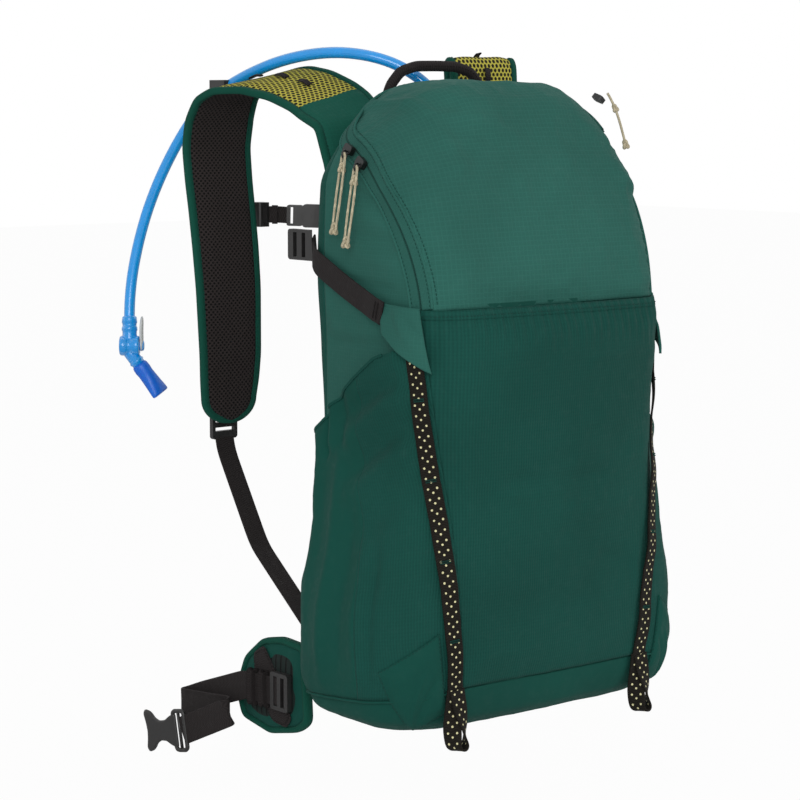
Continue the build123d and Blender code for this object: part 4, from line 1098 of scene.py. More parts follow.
# haul loop
haul = {
    "radius": 4.6, "y": 62, "steps": 120,
    "line": [(-57, 497), (-55.5, 510), (-50, 525), (-39, 536.5), (-22, 541), (0, 541.3), (22, 541),
             (39, 536.5), (50, 525), (55.5, 510), (57, 497)],  # across (x), height (h)
    "sizeAt": [0, .08, .2, .8, .92, 1],  # share of the line: flattened towards its sewn feet
    "grow": [1.35, 1.15, 1, 1, 1.15, 1.35], "slim": [.45, .8, 1, 1, .8, .45],
}
line = smoothLine([(x, haul["y"], h) for x, h in haul["line"]], haul["steps"], 10)
share = np.linspace(0, 1, haul["steps"])
scale = np.stack([np.interp(share, haul["sizeAt"], haul[key]) for key in ("grow", "slim")], axis=-1)
loop = sweepPiece("haulLoopTube", line, np.array([0, 1.0, 0]), circle(haul["radius"], 14), loopCloth,
                  scale=scale)
sewOn(loop, "pack", "loop_fabric", "haul_loop")
seam = line - np.array([0, haul["radius"], 0])
sewOn(threadRun("haulLoopStitches", seam[14:-14], np.array([0, -1.0, 0]), darkThread, radius=.3), "pack",
      "loop_fabric")

# shoulder straps
strapLeft = {
    "thick": 10, "yoke": .15, "tip": 226, "roll": 17, "rollSpan": (.02, .13, .25, .42),
    "line": [  # behind the middle line (y), height (h), outer and inner edge (x)
        (84, 448, -98, -32), (98, 492, -98, -32), (134, 511, -100, -33), (160, 521, -106, -38),
        (186, 526, -115, -47),
        (217, 523, -126.5, -61), (236, 513, -130, -64), (247, 494, -131, -64.5), (251, 470, -131.4, -65.5),
        (246, 440, -132, -67),
        (240, 415, -132.7, -68.5), (233, 380, -133.6, -70), (228, 345, -133.8, -71.5),
        (225, 285, -132.6, -73.8),
        (226, 262, -131.6, -75.5), (227, 246, -130, -78)],
}
strapRight = {
    "thick": 10, "yoke": .14, "tip": 226, "roll": 0, "rollSpan": (.02, .13, .25, .42),
    "line": [
        (84, 436, 113, 47), (92, 510, 117, 48.5), (97, 543, 120, 49.5), (103, 549, 122, 51),
        (110, 543, 126, 54),
        (119, 500, 131, 65), (124, 400, 133.3, 70), (124, 300, 132.5, 74), (125.5, 262, 131.6, 75.5),
        (126, 246, 130, 78)],
}


def strapShape(strap, count=170):
    route = smoothLine(strap["line"], count, 5)
    centre = np.stack([(route[:, 2] + route[:, 3]) / 2, route[:, 0], route[:, 1]], axis=-1)
    half = (route[:, 3] - route[:, 2]) / 2 * (1 if route[0, 2] < route[0, 3] else -1)
    tail = np.linspace(0, 1, 26)[1:]
    fall = centre[-1, 2] - strap["tip"]
    drop = np.repeat(centre[-1:], 25, axis=0)
    drop[:, 2] -= fall * np.sin(tail * math.pi / 2)
    centre = np.concatenate([centre, drop])
    half = np.concatenate([half, half[-1] * np.maximum(np.cos(tail * math.pi / 2), .04)])
    way = tangents(np.stack([centre[:, 0] * 0, centre[:, 1], centre[:, 2]], axis=-1))
    facing = np.stack([way[:, 0] * 0, -way[:, 2], way[:, 1]], axis=-1)
    share = np.linspace(0, 1, len(centre))
    roll = np.radians(strap["roll"]) * np.interp(share, strap["rollSpan"], [0, 1, 1, 0])[:, None]
    across = np.array([1.0, 0, 0]) * np.cos(roll) + facing * np.sin(roll)
    facing = facing * np.cos(roll) - np.array([1.0, 0, 0]) * np.sin(roll)
    centre = centre + facing * np.abs(half)[:, None] * np.sin(roll) * .45
    return centre, np.abs(half), facing, across


def strapFace(name, strap, shape, way, span, material, proud, columns=31):
    centre, half, facing, across = shape
    u = np.linspace(-1, 1, columns)
    swell = (1 - np.abs(u) ** 5) ** .5
    lines = centre[span, None] + across[span, None] * (u[None] * (half[span] - 1.2)[:, None])[..., None]
    run = runAlong(centre)[span]
    soft = .7 * crumple(u[None] * 34, run[:, None] * np.ones_like(u)[None], 38, 71)
    depth = (strap["thick"] / 2 - 1.6) * swell[None] + proud + soft * swell[None]
    grid = lines + facing[span, None] * (way * depth)[..., None]
    uv = np.stack(np.broadcast_arrays(u[None] * half[span, None], run[:, None]), axis=-1)
    return gridPiece(name, grid, material, uv, flip=way > 0)


for strap, name, side in ((strapLeft, "left", -1), (strapRight, "right", 1)):
    shape = strapShape(strap)
    centre, half, facing, across = shape
    count = len(centre)
    yoke = int(count * strap["yoke"])
    inner = strapFace("strapInner_" + name, strap, shape, -1, slice(0, count), meshCloth, .2)
    sewOn(inner, "pack", "strap_fabric", "shoulder_strap_" + name)
    sewOn(strapFace("strapOuter_" + name, strap, shape, 1, slice(0, count), spacerCloth, .2),
          "pack", "strap_fabric")
    cover = strapFace("strapYoke_" + name, strap, shape, 1, slice(0, yoke), strapCloth, 1.2)
    sewOn(cover, "pack", "strap_fabric")
    sewOn(strapFace("strapYokeUnder_" + name, strap, shape, -1, slice(0, yoke + 6), strapCloth, 1.2),
          "pack", "strap_fabric")
    rimA, rimB = centre - across * half[:, None], centre + across * half[:, None]
    rim = np.concatenate([rimA, rimB[::-1]])
    faceRim = np.concatenate([facing, facing[::-1]])
    both = resample(np.concatenate([rim, faceRim], axis=1), 460)
    rim, faceRim = both[:, :3], both[:, 3:]
    sewOn(sweepPiece("strapBinding_" + name, rim, faceRim, bindingSection(3.4, 3.3), bindingCloth),
          "pack", "strap_fabric")
    inwards = np.cross(tangents(rim), faceRim)
    towards = (centre[:, 0].mean() - rim[:, 0]) * inwards[:, 0]
    inwards *= np.sign(towards)[:, None]
    for way in (1, -1):
        sewOn(threadRun("bindingStitches_%s%d" % (name, way > 0), rim + inwards * 2.3, faceRim * way,
                        threadCloth,
                        lift=2.9), "pack", "strap_fabric")
    loops = []
    for share in (.2, .25, .3, .36):  # short loops along the outer face
        k = int(count * share)
        spot = centre[k] + facing[k] * (strap["thick"] / 2 + .2)
        way = centre[k + 1] - centre[k - 1]
        way = way / np.linalg.norm(way) * 6
        loops.append(sweepPiece("keeper", [spot - way, spot + facing[k] * 1.4, spot + way], facing[k],
                                flatSection(6, 1.4, 4), webbingCloth))
    sewOn(joinPieces("strapKeepers_" + name, loops), "pack", "webbing")

# lower webbing, sternum webbing
lowerWeb = {"wide": 20, "thick": 1.7}
for side, name, footY in ((-1, "left", 228), (1, "right", 126)):
    start = (side * 104, footY + 7.3, 214)
    middle = (side * (109 + (footY - 126) * .03), footY * .66 + 20, 120)
    line = smoothLine([start, (side * 105, footY + 4, 200), middle, (side * 124, 62, 52),
                       (side * 126, 44, 42)],
                      60, 6)
    section = flatSection(lowerWeb["wide"], lowerWeb["thick"])
    sewOn(sweepPiece("lowerWebbing_" + name, line, np.cross(tangents(line), [1.0, 0, 0]), section,
                     webbingCloth),
          "pack", "webbing", "lower_webbing_" + name)
sternum = {"left": (-58, 240, 409), "right": (58, 125, 405), "share": .26, "wide": 15, "thick": 1.7,
           "keeper": (17, 2.2), "sag": 1.2, "steps": 40}
left, right = np.array(sternum["left"], float), np.array(sternum["right"], float)
long = np.linalg.norm(right - left)
for begin, end, name in ((4 / long, sternum["share"] - .1, "left"),
                         (sternum["share"] + .1, 1 - 4 / long, "right")):
    t = np.linspace(begin, end, sternum["steps"])[:, None]
    line = left + (right - left) * t
    sag = sternum["sag"] * np.sin(np.linspace(0, math.pi, sternum["steps"]))
    line[:, 2] += sag * (-1 if name == "right" else .3)
    facing = np.cross((right - left) / long, [0, 0, 1.0])
    sewOn(sweepPiece("sternumWebbing_" + name, line, facing, flatSection(sternum["wide"], sternum["thick"]),
                     webbingCloth),
          "sternum_strap", "webbing", "sternum_web_" + name)
    fold = (line[12:22] if name == "left" else line[8:14]) + facing * 1.9
    sewOn(sweepPiece("sternumKeeper_" + name, fold, facing, flatSection(*sternum["keeper"]), webbingCloth),
          "sternum_strap", "webbing")
print("straps made")


# padded pieces
padding = {"voxel": 5, "pressure": 4.0, "frames": 20, "reach": 3.0}


def roundedLoop(corners, count=120, passes=6):
    line = resample(np.array(list(corners) + [corners[0]], float), count + 1)[:-1]
    for _ in range(passes):
        line = np.roll(line, 1, axis=0) * .25 + line * .5 + np.roll(line, -1, axis=0) * .25
    return line


def shrunk(loop, share):  # a closed line drawn in towards its middle
    return (loop - loop.mean(axis=0)) * share + loop.mean(axis=0)


def padShell(name, outline, spot, thick, material, power=5, rings=14):
    # outline: a closed line (a, b); spot(a, b, depth) gives a place on the bag
    centre = outline.mean(axis=0)
    share = np.sin(np.linspace(.04, 1, rings) * math.pi / 2)
    rows = []
    for way, span in ((1, share), (-1, share[-2::-1])):
        for t in span:
            ring = centre + (outline - centre) * t
            depth = way * thick / 2 * max(1 - t ** power, 0) ** .5
            rows.append([spot(a, b, depth) for a, b in ring])
    points = np.array(rows)
    count, cols = points.shape[:2]
    i, j = np.meshgrid(np.arange(count - 1), np.arange(cols), indexing="ij")
    a, b = (i * cols + j).ravel(), (i * cols + (j + 1) % cols).ravel()
    faces = [tuple(f) for f in np.stack([a, b, b + cols, a + cols], axis=-1)]
    faces += [tuple(range(cols))[::-1], tuple((count - 1) * cols + k for k in range(cols))]
    flat = np.array([centre + (outline - centre) * t for t in list(share) + list(share[-2::-1])])
    piece = meshPiece(name, points.reshape(-1, 3), faces, material, flat.reshape(-1, 2))
    bpy.ops.object.select_all(action="DESELECT")
    piece.select_set(True)
    bpy.context.view_layer.objects.active = piece
    bpy.ops.object.mode_set(mode="EDIT")
    bpy.ops.mesh.select_all(action="SELECT")
    bpy.ops.mesh.normals_make_consistent(inside=False)
    bpy.ops.object.mode_set(mode="OBJECT")
    return piece


def coordsOf(piece):
    flat = np.empty(len(piece.data.vertices) * 3)
    piece.data.vertices.foreach_get("co", flat)
    return flat.reshape(-1, 3)


def setCoords(piece, coords):
    piece.data.vertices.foreach_set("co", coords.ravel())
    piece.data.update()


def swell(piece, axes, reach=padding["reach"]):  # fills the pad out as cloth, then smooths it
    bpy.context.view_layer.objects.active = piece
    remesh = piece.modifiers.new("remesh", "REMESH")
    remesh.mode, remesh.voxel_size = "VOXEL", padding["voxel"] * mm
    bpy.ops.object.modifier_apply(modifier=remesh.name)
    rest = coordsOf(piece)
    cloth = piece.modifiers.new("cloth", "CLOTH")
    cloth.settings.quality = 5
    cloth.settings.mass = .3
    cloth.settings.use_pressure = True
    cloth.settings.uniform_pressure_force = padding["pressure"]
    cloth.settings.effector_weights.gravity = 0
    cloth.point_cache.frame_start, cloth.point_cache.frame_end = 1, padding["frames"]
    for step in range(1, padding["frames"] + 1):
        bpy.context.scene.frame_set(step)
    bpy.ops.object.modifier_apply(modifier=cloth.name)
    bpy.context.scene.frame_set(1)
    moved = coordsOf(piece) - rest
    length = np.linalg.norm(moved, axis=1, keepdims=True)
    moved *= np.minimum(1, reach * mm / np.maximum(length, 1e-9))
    setCoords(piece, rest + moved)
    piece.data.polygons.foreach_set("use_smooth", [True] * len(piece.data.polygons))
    layer = piece.data.uv_layers.new(name="UVMap")
    corner = np.empty(len(piece.data.loops), int)
    piece.data.loops.foreach_get("vertex_index", corner)
    layer.data.foreach_set("uv", coordsOf(piece)[corner][:, list(axes)].ravel())
    smooth = piece.modifiers.new("smooth", "SUBSURF")
    smooth.levels = smooth.render_levels = 1
    return piece


def backY(x, h):
    ring = rings[int(round(h / 2.0))]
    widest = int(np.argmax(ring[:, 0]))
    return np.interp(abs(x), ring[:widest:-1, 0], ring[:widest:-1, 1])


backPads = {
    "thick": 9, "piping": 1.5,
    "places": {  # middle (x, h), width, height, corner
        "back_pad_left": (-52, 285, 76, 210, 24), "back_pad_right": (52, 285, 76, 210, 24),
        "lumbar_pad": (0, 110, 190, 96, 30)},
}


def roundedBox(x, h, wide, tall, corner):
    loop = []
    for sx, sh, start in ((1, 1, 0), (-1, 1, 1), (-1, -1, 2), (1, -1, 3)):
        for t in np.linspace(0, 1, 9):
            a = (start + t) * math.pi / 2
            loop.append((x + sx * (wide / 2 - corner) + corner * math.cos(a),
                         h + sh * (tall / 2 - corner) + corner * math.sin(a)))
    return roundedLoop(loop, 150, 2)


for name, (x, h, wide, tall, corner) in backPads["places"].items():
    loop = roundedBox(x, h, wide - 4, tall - 4, corner)
    spot = lambda a, b, depth: (a, backY(a, b) + 5 + depth, b)
    pad = padShell(name.replace("_", "") + "Cushion", loop, spot, backPads["thick"], padCloth, power=7)
    swell(pad, (0, 2))
    sewOn(pad, "pack", "pad_mesh", name)
    rim = np.array([(a, backY(a, b) + 1.6, b) for a, b in roundedBox(x, h, wide, tall, corner)])
    sewOn(sweepPiece(name.replace("_", "") + "Piping", rim, np.array([0, 1.0, 0]),
                     circle(backPads["piping"], 8),
                     bindingCloth, closed=True), "pack", "pad_mesh")

# hip belt
hip = {
    "x": 133, "thick": 9, "web": 25, "cover": .9, "patchLift": 6.1, "seamLift": 7.2,
    "keepers": (121, 136), "band": 7,
    "wing": [(76, 46), (108, 48), (133, 43), (158, 24), (171, -6), (163, -28), (124, -35), (86, -27),
             (72, -18)],
    "patch": [(143, 32), (127, 41), (112, 22), (88, -18), (96, -27), (116, -24), (140, 8)],
    "tail": [(142.8, 100, 5), (143, 114, 4), (146, 148, 3), (149, 206, -17), (150, 228, -25.5),
             (152, 233.5, -27.4), (155.5, 233, -27),
             (157, 226, -26), (160, 180, -21), (160.5, 153, -18), (162, 147, -17.6), (165, 147, -19),
             (167, 153, -22),
             (171, 172, -31), (176, 201, -44.5)],
}
for side, name in ((-1, "left"), (1, "right")):
    body = "hip_wing_" + name
    loop = roundedLoop(hip["wing"], 130, 8)
    wing = padShell("hipWingCushion_" + name, shrunk(loop, .965),
                    lambda a, b, depth: (side * (hip["x"] + depth), a, b), hip["thick"] - .6, padCloth,
                    power=6)
    swell(wing, (1, 2), reach=1.6)
    sewOn(wing, body, "pad_mesh", body)
    cover = padShell("hipWingCover_" + name, shrunk(loop, .96),
                     lambda a, b, depth: (side * (hip["x"] + max(depth + hip["cover"], 1.5)), a, b),
                     hip["thick"] - .6,
                     plainCloth, power=6)
    sewOn(cover, body, "base_fabric")
    outer = roundedLoop(hip["wing"], 160, 8)
    rim = np.array([(side * hip["x"], a, b) for a, b in outer])
    sewOn(sweepPiece("hipWingBinding_" + name, rim, np.array([side * 1.0, 0, 0]), bindingSection(3.0, 4.6),
                     bindingCloth, closed=True), body, "strap_fabric")
    loop = roundedLoop(hip["patch"], 90, 3)
    rumple = lambda a, b: .5 * softNoise(np.array(a / 16), np.array(b / 16), 91)
    patch = padShell("hipPatchCloth_" + name, loop, lambda a, b, depth: (
        side * (hip["x"] + hip["patchLift"] + depth + rumple(a, b)), a, b), 2.4, webbingCloth, power=12)
    sewOn(patch, body, "strap_fabric", "hip_patch_" + name)
    seam = np.array([(side * (hip["x"] + hip["seamLift"]), a, b) for a, b in shrunk(loop, .93)])
    sewOn(threadRun("hipPatchStitches_" + name, np.vstack([seam, seam[:1]]), np.array([side * 1.0, 0, 0]),
                    darkThread,
                    lift=.1), body, "strap_fabric")
    line = np.array([(side * x, y, h) for x, y, h in hip["tail"]], float)
    line = smoothLine(line, 220, 7)
    facing = unit(np.cross([0, 0, 1.0], tangents(line)))
    sewOn(sweepPiece("hipWebbing_" + name, line, facing, flatSection(hip["web"], 1.8), webbingCloth),
          "hip_tail_" + name, "webbing", "hip_webbing_" + name)
    bands = []
    for y in hip["keepers"]:
        k = int(np.argmin(np.abs(line[:70, 1] - y)))
        a = np.linspace(0, 2 * math.pi, 40, endpoint=False)
        section = np.stack([np.copysign(np.abs(np.cos(a)) ** .35, np.cos(a)) * (hip["web"] / 2 + 1.2),
                            np.copysign(np.abs(np.sin(a)) ** .5, np.sin(a)) * 2.2], axis=-1)
        acrossLine = np.cross(tangents(line)[k], facing[k])
        band = line[k] + section[:, :1] * acrossLine + section[:, 1:] * facing[k]
        bands.append(sweepPiece("keeperBand", band, tangents(line)[k], flatSection(1.2, hip["band"]),
                                webbingCloth, closed=True))
    sewOn(joinPieces("hipKeepers_" + name, bands), "hip_tail_" + name, "webbing")

# the belt's front buckle: a bar for the webbing and a waisted tongue with two horned corners
tongue = {
    "origin": (-175.4, 197, -43.5), "along": (-.154, .93, -.16), "thick": 3.8, "bar": (14, 35), "rod": 4,
    "edge": [(11, 15.5), (17, 14), (25, 9.5), (33, 9), (39, 12), (44, 18), (50, 19.5), (52.5, 16), (50.5, 8),
             (49.5, 0)],
}
along = np.array(tongue["along"]) / np.linalg.norm(tongue["along"])
flatWay = np.cross(along, [0, 0, 1.0])
flatWay /= np.linalg.norm(flatWay)
acrossWay = np.cross(flatWay, along)
origin = np.array(tongue["origin"])
outline = tongue["edge"] + [(a, -b) for a, b in tongue["edge"][-2::-1]]
plate = padShell("buckleTongue", roundedLoop(outline, 120, 2), lambda a, b, depth: tuple(
    origin + along * a + acrossWay * b + flatWay * depth), tongue["thick"], buckleShine, power=14)
long, wide = tongue["bar"]
bar = np.array([origin + along * a + acrossWay * b for a, b in roundedBox(long / 2, 0, long, wide, 3.2)])
frameBar = sweepPiece("buckleBar", bar, flatWay, flatSection(tongue["rod"], tongue["thick"] - .2),
                      buckleShine, closed=True)
grip = [origin + along * long / 2 + acrossWay * b for b in (-wide / 2, wide / 2)]
gripBar = sweepPiece("buckleGrip", grip, flatWay, circle(1.5, 10), buckleShine)
sewOn(joinPieces("buckleTongue", [plate, frameBar, gripBar]), "hip_tail_left", "buckle_plastic",
      "hip_buckle_prong")
print("padding and hip belt made")


# drinking hose and bite valve
def cordCurve(name, points, diameter, material, resolution=8):
    curve = bpy.data.curves.new(name, "CURVE")
    curve.dimensions, curve.resolution_u, curve.bevel_resolution = "3D", resolution, 4
    line = curve.splines.new("NURBS")
    line.points.add(len(points) - 1)
    for point, spot in zip(line.points, toFrame(points)):
        point.co = (*spot, 1)
    line.order_u, line.use_endpoint_u = 3, True
    curve.bevel_depth, curve.use_fill_caps = diameter / 2 * mm, True
    piece = bpy.data.objects.new(name, curve)
    bpy.context.collection.objects.link(piece)
    curve.materials.append(material)
    return piece


def turned(name, start, way, rows, material, flat=None, columns=28):
    # a lathe-turned or moulded piece along a straight line: rows are (distance, radius)
    way = np.array(way, float) / np.linalg.norm(way)
    line = np.array([np.array(start) + way * d for d, *_ in rows])
    scale = np.array([(r[1], r[2] if len(r) > 2 else r[1]) for r in rows])
    normal = np.array(flat if flat is not None else (0, 0, 1.0), float)
    return sweepPiece(name, line, normal, circle(1, columns), material, scale=scale)


hose = {
    "diameter": 10, "length": .8912,
    "points": [(8, 22, 118), (28, 21, 142), (52, 21, 190), (57, 22, 250), (54, 23, 318), (52, 25, 385),
               (38, 38, 446),
               (20, 56, 488), (8, 73, 521), (-15, 97, 545), (-45, 133, 555), (-68, 181, 550),
               (-85, 230, 533),
               (-97, 276, 508), (-112, 298, 470), (-126, 316, 424), (-136, 326, 378), (-143, 329, 334),
               (-145, 326, 312)],
}
valve = {"barrel": 24, "leverAxis": (.766, -.643, 0), "bite": (13.3, -11.2, -23.5)}
tube = cordCurve("drinkingHose", hose["points"], hose["diameter"], hoseShine)
sewOn(tube, "pack", "hose_tube", "hose")
top = np.array(hose["points"][-1], float)
down = top - np.array(hose["points"][-2], float)
down /= np.linalg.norm(down)
leverAxis = np.array(valve["leverAxis"])
biteWay = np.array(valve["bite"]) / np.linalg.norm(valve["bite"])
hubAt = top + down * valve["barrel"]
socketRows = [(-3, 5.15), (-3, 6.0), (-2, 6.7), (3, 7.1), (3.6, 6.5), (6.4, 6.5), (7, 7.2), (10, 7.2),
              (10.6, 6.6),
              (13, 6.6), (17, 7.2), (22, 7.2)]
socket = turned("valveSocket", top, down, socketRows, valveShine, flat=leverAxis)
barrelRows = [(-9, 3), (-9, 8.1), (-8.4, 8.9), (-7.4, 9.2), (-2.6, 9.2), (-2.1, 8.7), (2.1, 8.7), (2.6, 9.2),
              (7.4, 9.2), (8.4, 8.9), (9, 8.1), (9, 3)]
barrel = turned("valveBarrel", hubAt, leverAxis, barrelRows, valveShine, flat=(0, 0, 1))
neckStart = hubAt + np.array([0, 0, -6.0])
neck = turned("valveNeck", neckStart, biteWay,
              [(-3, 5), (0, 6.2), (9, 6.2), (9.6, 6.9), (11, 7.0), (12, 6.2), (16, 5.9)],
              valveShine, flat=leverAxis)
for piece in (barrel, neck):
    sewOn(piece, "pack", "valve_plastic")
sewOn(socket, "pack", "valve_plastic", "valve_body")
biteRows = [(14, 5.8, 5.8), (14, 6.7, 6.7), (16, 7.4, 7.4), (20, 7.6, 7.6), (24, 7.3, 7.1), (30, 8.0, 7.0),
            (38, 10, 6.4),
            (44, 11.6, 5.8), (46.2, 12, 5.4), (47.2, 11.4, 4.6), (47.4, 10, 3.2), (46.4, 8.6, .8)]
bite = turned("biteValve", neckStart, biteWay, biteRows, siliconeShine, flat=np.cross(biteWay, (.9, .3, 0)))
sewOn(bite, "pack", "bite_silicone", "bite_valve")
leverPlane = np.cross(leverAxis, [0, 0, 1.0])
loop = []
for a in np.linspace(0, 2 * math.pi, 60, endpoint=False):
    wide = 4.5 if math.sin(a) > 0 else 5.6
    loop.append((wide * math.cos(a), 11 + 11.5 * np.sign(math.sin(a)) + 4.8 * math.sin(a)))
loop = roundedLoop(loop, 80, 3)
paddle = padShell("leverPaddle", loop, lambda a, b, depth: tuple(hubAt + leverAxis * (
    10.9 + depth + .012 * max(b - 12, 0) ** 1.5) + leverPlane * a + np.array([0, 0, b])), 3.0, leverShine,
                  power=7)
sewOn(paddle, "shutoff_lever", "valve_plastic", "shutoff_lever")
boss = turned("leverBoss", hubAt, leverAxis, [(8, 4.6), (12.4, 4.6), (13, 4.1), (13.2, 3.2), (13.2, .6)],
              valveShine, flat=(0, 0, 1))
sewOn(boss, "shutoff_lever", "valve_plastic")

# zip sliders and their cord pulls
pull = {"cord": 2.2, "lean": .17, "half": [(2.0, 64), (3.0, 40), (2.7, 20), (2.3, 8), (1.9, 0)],
        "starts": {"upper": (-133.07, 20, 469), "lower": (-136.32, 0, 459)}, "length": .1323,
        "knots": [(12, 2.2), (62, 2.5)],  # how far down, and size
        "pocket": [(101, -46, 518), (103.5, -47, 514), (107.5, -49, 505), (112, -51, 492),
                   (116.5, -53, 474)]}


def knotPiece(name, spot, size, material, cord, way=(0, 0, 1.0)):  # a pulled-up overhand knot
    t = np.linspace(0, 2 * math.pi, 72, endpoint=False)
    way = np.array(way, float) / np.linalg.norm(way)
    u = np.cross(way, [.3, 1.0, .1])
    u /= np.linalg.norm(u)
    v = np.cross(way, u)
    x, y, z = np.sin(t) + 2 * np.sin(2 * t), np.cos(t) - 2 * np.cos(2 * t), -np.sin(3 * t)
    line = np.array(spot) + size * (x[:, None] * u * .42 + y[:, None] * way * .62 + z[:, None] * v * .5)
    normal = np.cross(tangents(line, True), np.roll(tangents(line, True), 1, axis=0) + [.01, .02, .03])
    return sweepPiece(name, line, v, circle(cord / 2, 8), material, closed=True)


for key, (x, y, h) in pull["starts"].items():
    oneHalf = [(x - pull["lean"] * fall, y - wide, h - fall) for wide, fall in pull["half"]]
    otherHalf = [(x - pull["lean"] * fall, y + wide, h - fall) for wide, fall in reversed(pull["half"])]
    body = key + "_pull"
    cordPiece = cordCurve("pullCord_" + key, oneHalf + otherHalf, pull["cord"], cordCloth, 10)
    sewOn(cordPiece, body, "pull_cord", "pull_cord_" + key)
    knots = []
    for fall, size in pull["knots"]:
        spot = (x - pull["lean"] * fall, y, h - fall)
        knots.append(knotPiece("pullKnot", spot, size, cordCloth, 2.7, (-pull["lean"], 0, -1)))
    knot = joinPieces("pullKnots_" + key, knots)
    sewOn(knot, body, "pull_cord")
    a = np.linspace(0, 2 * math.pi, 40, endpoint=False)
    ring = np.stack([x + 2.6 * np.cos(a) + .6, np.full(40, y), h - 1 + 3.4 * np.sin(a)], axis=-1)
    sewOn(sweepPiece("pullRing_" + key, ring, np.array([0, 1.0, 0]), circle(.75, 8), sliderShine,
                     closed=True),
          body, "slider_metal")
pocketCord = cordCurve("pullCord_pocket", pull["pocket"], pull["cord"], cordCloth, 10)
sewOn(pocketCord, "pocket_pull", "pull_cord", "pull_cord_pocket")
route = np.array(pull["pocket"], float)
pocketKnots = joinPieces("pullKnots_pocket", [
    knotPiece("pullKnot", route[2], 1.7, cordCloth, 2.4, route[2] - route[1]),
    knotPiece("pullKnot", route[-1], 2.0, cordCloth, 2.5, route[-1] - route[-2])])
sewOn(pocketKnots, "pocket_pull", "pull_cord")

# reservoir and its pocket inside
inside = {"wide": 176, "tall": 300, "middle": 240, "corner": 26, "y": 46, "thick": 27,
          "sleeveY": 10.6, "sleeve": (-99, 99, 31, 351)}
loop = roundedBox(0, inside["middle"], inside["wide"] - 4, inside["tall"] - 4, inside["corner"])
pillow = padShell("reservoirPillow", loop, lambda a, b, depth: (a, inside["y"] + depth, b), inside["thick"],
                  bladderShine, power=3, rings=18)
sewOn(pillow, "pack", "bladder", "reservoir")
rim = roundedBox(0, inside["middle"], inside["wide"], inside["tall"], inside["corner"])
seam = np.array([(a, inside["y"], b) for a, b in rim]) * [.985, 1, 1]
sewOn(sweepPiece("reservoirSeam", seam, np.array([0, 1.0, 0]), flatSection(5, .9), bladderShine,
                 closed=True),
      "pack", "bladder")
collar = turned("reservoirCollar", (0, 33, 322), (0, -1, 0),
                [(-3, 36), (0, 36.6), (3.6, 36.2), (4, 34.5), (4, 29)], capShine,
                flat=(0, 0, 1), columns=60)
sewOn(collar, "pack", "cap_plastic")
x0, x1, h0, h1 = inside["sleeve"]
u, v = np.meshgrid(np.linspace(x0, x1, 70), np.linspace(h0, h1, 90))
slack = 3 * np.sin((u - x0) / (x1 - x0) * math.pi) * np.clip((v - 300) / 50, 0, 1)  # the mouth hangs open
wave = 1.2 * crumple(u, v, 70, 81) - slack
sewOn(lined(gridPiece("reservoirSleeveCloth", np.stack([u, inside["sleeveY"] + wave, v], axis=-1),
                      liningCloth,
                      np.stack([u, v], axis=-1)), 1.0), "pack", "lining", "reservoir_sleeve")
line = smoothLine([(0, 43, 396), (0, 60, 397), (0, 80, 398)], 12, 1)
sewOn(sweepPiece("reservoirHanger", line, np.array([0, 0, 1.0]), flatSection(24, 2), webbingCloth), "pack",
      "webbing",
      "reservoir_hanger")

# moulded pieces that keep their own shape
finishes = [
    (buckleShine, "compression_buckle_left compression_buckle_right ladder_lock_left ladder_lock_right "
                  "sternum_slider_left sternum_slider_right sternum_buckle_socket sternum_buckle_prong "
                  "hip_ladder_lock_left hip_ladder_lock_right hip_buckle_socket hose_clip"),
    (sliderShine, "main_slider_upper main_slider_lower pocket_slider"),
    (capShine, "reservoir_cap hose_port"),
]
for material, names in finishes:
    for name in names.split():
        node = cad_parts[name]
        node.data.materials.clear()
        node.data.materials.append(material)
print("moulded pieces finished")

# camera, light and floor
studio = {"target": (-.0525, -.016, -.2795), "azimuth": -39.2, "tilt": 7, "distance": 2.1, "lens": 110.25,
          "floorDrop": .045, "key": 34, "fill": 12, "top": 3, "world": .42, "glow": .96}
camera = bpy.data.objects.new("Camera", bpy.data.cameras.new("Camera"))
bpy.context.collection.objects.link(camera)
a, t = math.radians(studio["azimuth"]), math.radians(studio["tilt"])
target = Vector(studio["target"])
away = Vector((math.sin(a) * math.cos(t), -math.cos(a) * math.cos(t), math.sin(t)))
camera.location = target + away * studio["distance"]
camera.rotation_euler = (-away).to_track_quat("-Z", "Y").to_euler()
camera.data.lens, camera.data.sensor_width = studio["lens"], 36
camera.data.clip_start = .02
bpy.context.scene.camera = camera


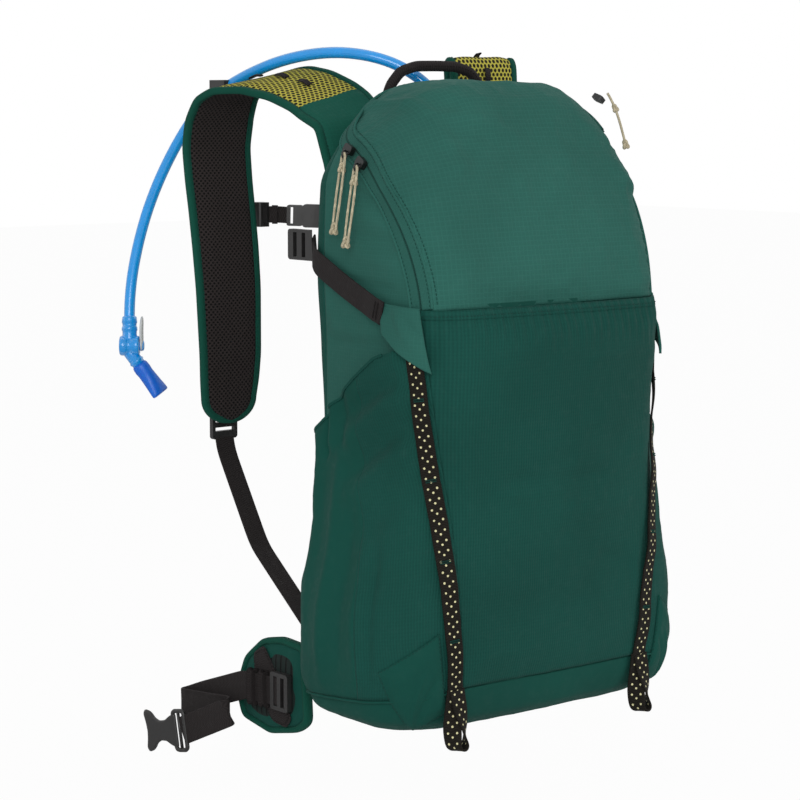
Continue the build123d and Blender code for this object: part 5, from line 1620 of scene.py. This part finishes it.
def softBox(name, where, size, power):
    light = bpy.data.lights.new(name, "AREA")
    light.shape, light.size, light.energy = "DISK", size, power
    lamp = bpy.data.objects.new(name, light)
    bpy.context.collection.objects.link(lamp)
    lamp.location = Vector(where)
    lamp.rotation_euler = (target - lamp.location).to_track_quat("-Z", "Y").to_euler()
    lamp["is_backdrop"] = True


softBox("keyLight", (-2.0, -2.0, .7), 1.6, studio["key"])
softBox("fillLight", (1.7, -2.0, .5), 2.0, studio["fill"])
softBox("topLight", (.2, .5, 2.2), 1.8, studio["top"])
camera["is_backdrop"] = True

floorMesh = bpy.data.meshes.new("floor")
low = min(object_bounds()[0].z, baseZ) - studio["floorDrop"]
floorMesh.from_pydata([(-9, -9, low), (9, -9, low), (9, 9, low), (-9, 9, low)], [], [(0, 1, 2, 3)])
floor = bpy.data.objects.new("floor", floorMesh)
bpy.context.collection.objects.link(floor)
floorPaint, tree, surface = newMaterial("Pale Floor", (.92, .92, .92, 1), Roughness=.9)
floorMesh.materials.append(floorPaint)
rays = addNode(tree, "LightPath").outputs
glow = addNode(tree, "Emission", {"Color": (1, 1, 1, 1), "Strength": 1.0})
seen = maths(tree, "MULTIPLY", rays["Is Camera Ray"], studio["glow"])
mix = addNode(tree, "MixShader", {0: seen, 1: surface.outputs[0], 2: glow.outputs[0]})
tree.links.new(mix.outputs[0], tree.nodes["Material Output"].inputs["Surface"])
floor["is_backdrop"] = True

world = bpy.data.worlds.new("studio")
bpy.context.scene.world = world
world.use_nodes = True
tree = world.node_tree
rays = addNode(tree, "LightPath").outputs
share = maths(tree, "MAXIMUM", maths(tree, "MAXIMUM", rays["Is Camera Ray"], rays["Is Glossy Ray"]),
              rays["Is Transmission Ray"])
strength = addNode(tree, "MapRange", {"Value": share, "To Min": studio["world"], "To Max": 1.0}).outputs[0]
tree.links.new(strength, tree.nodes["Background"].inputs["Strength"])
tree.nodes["Background"].inputs["Color"].default_value = (1, 1, 1, 1)
bpy.context.scene.view_settings.view_transform = "Standard"

print("scene made")
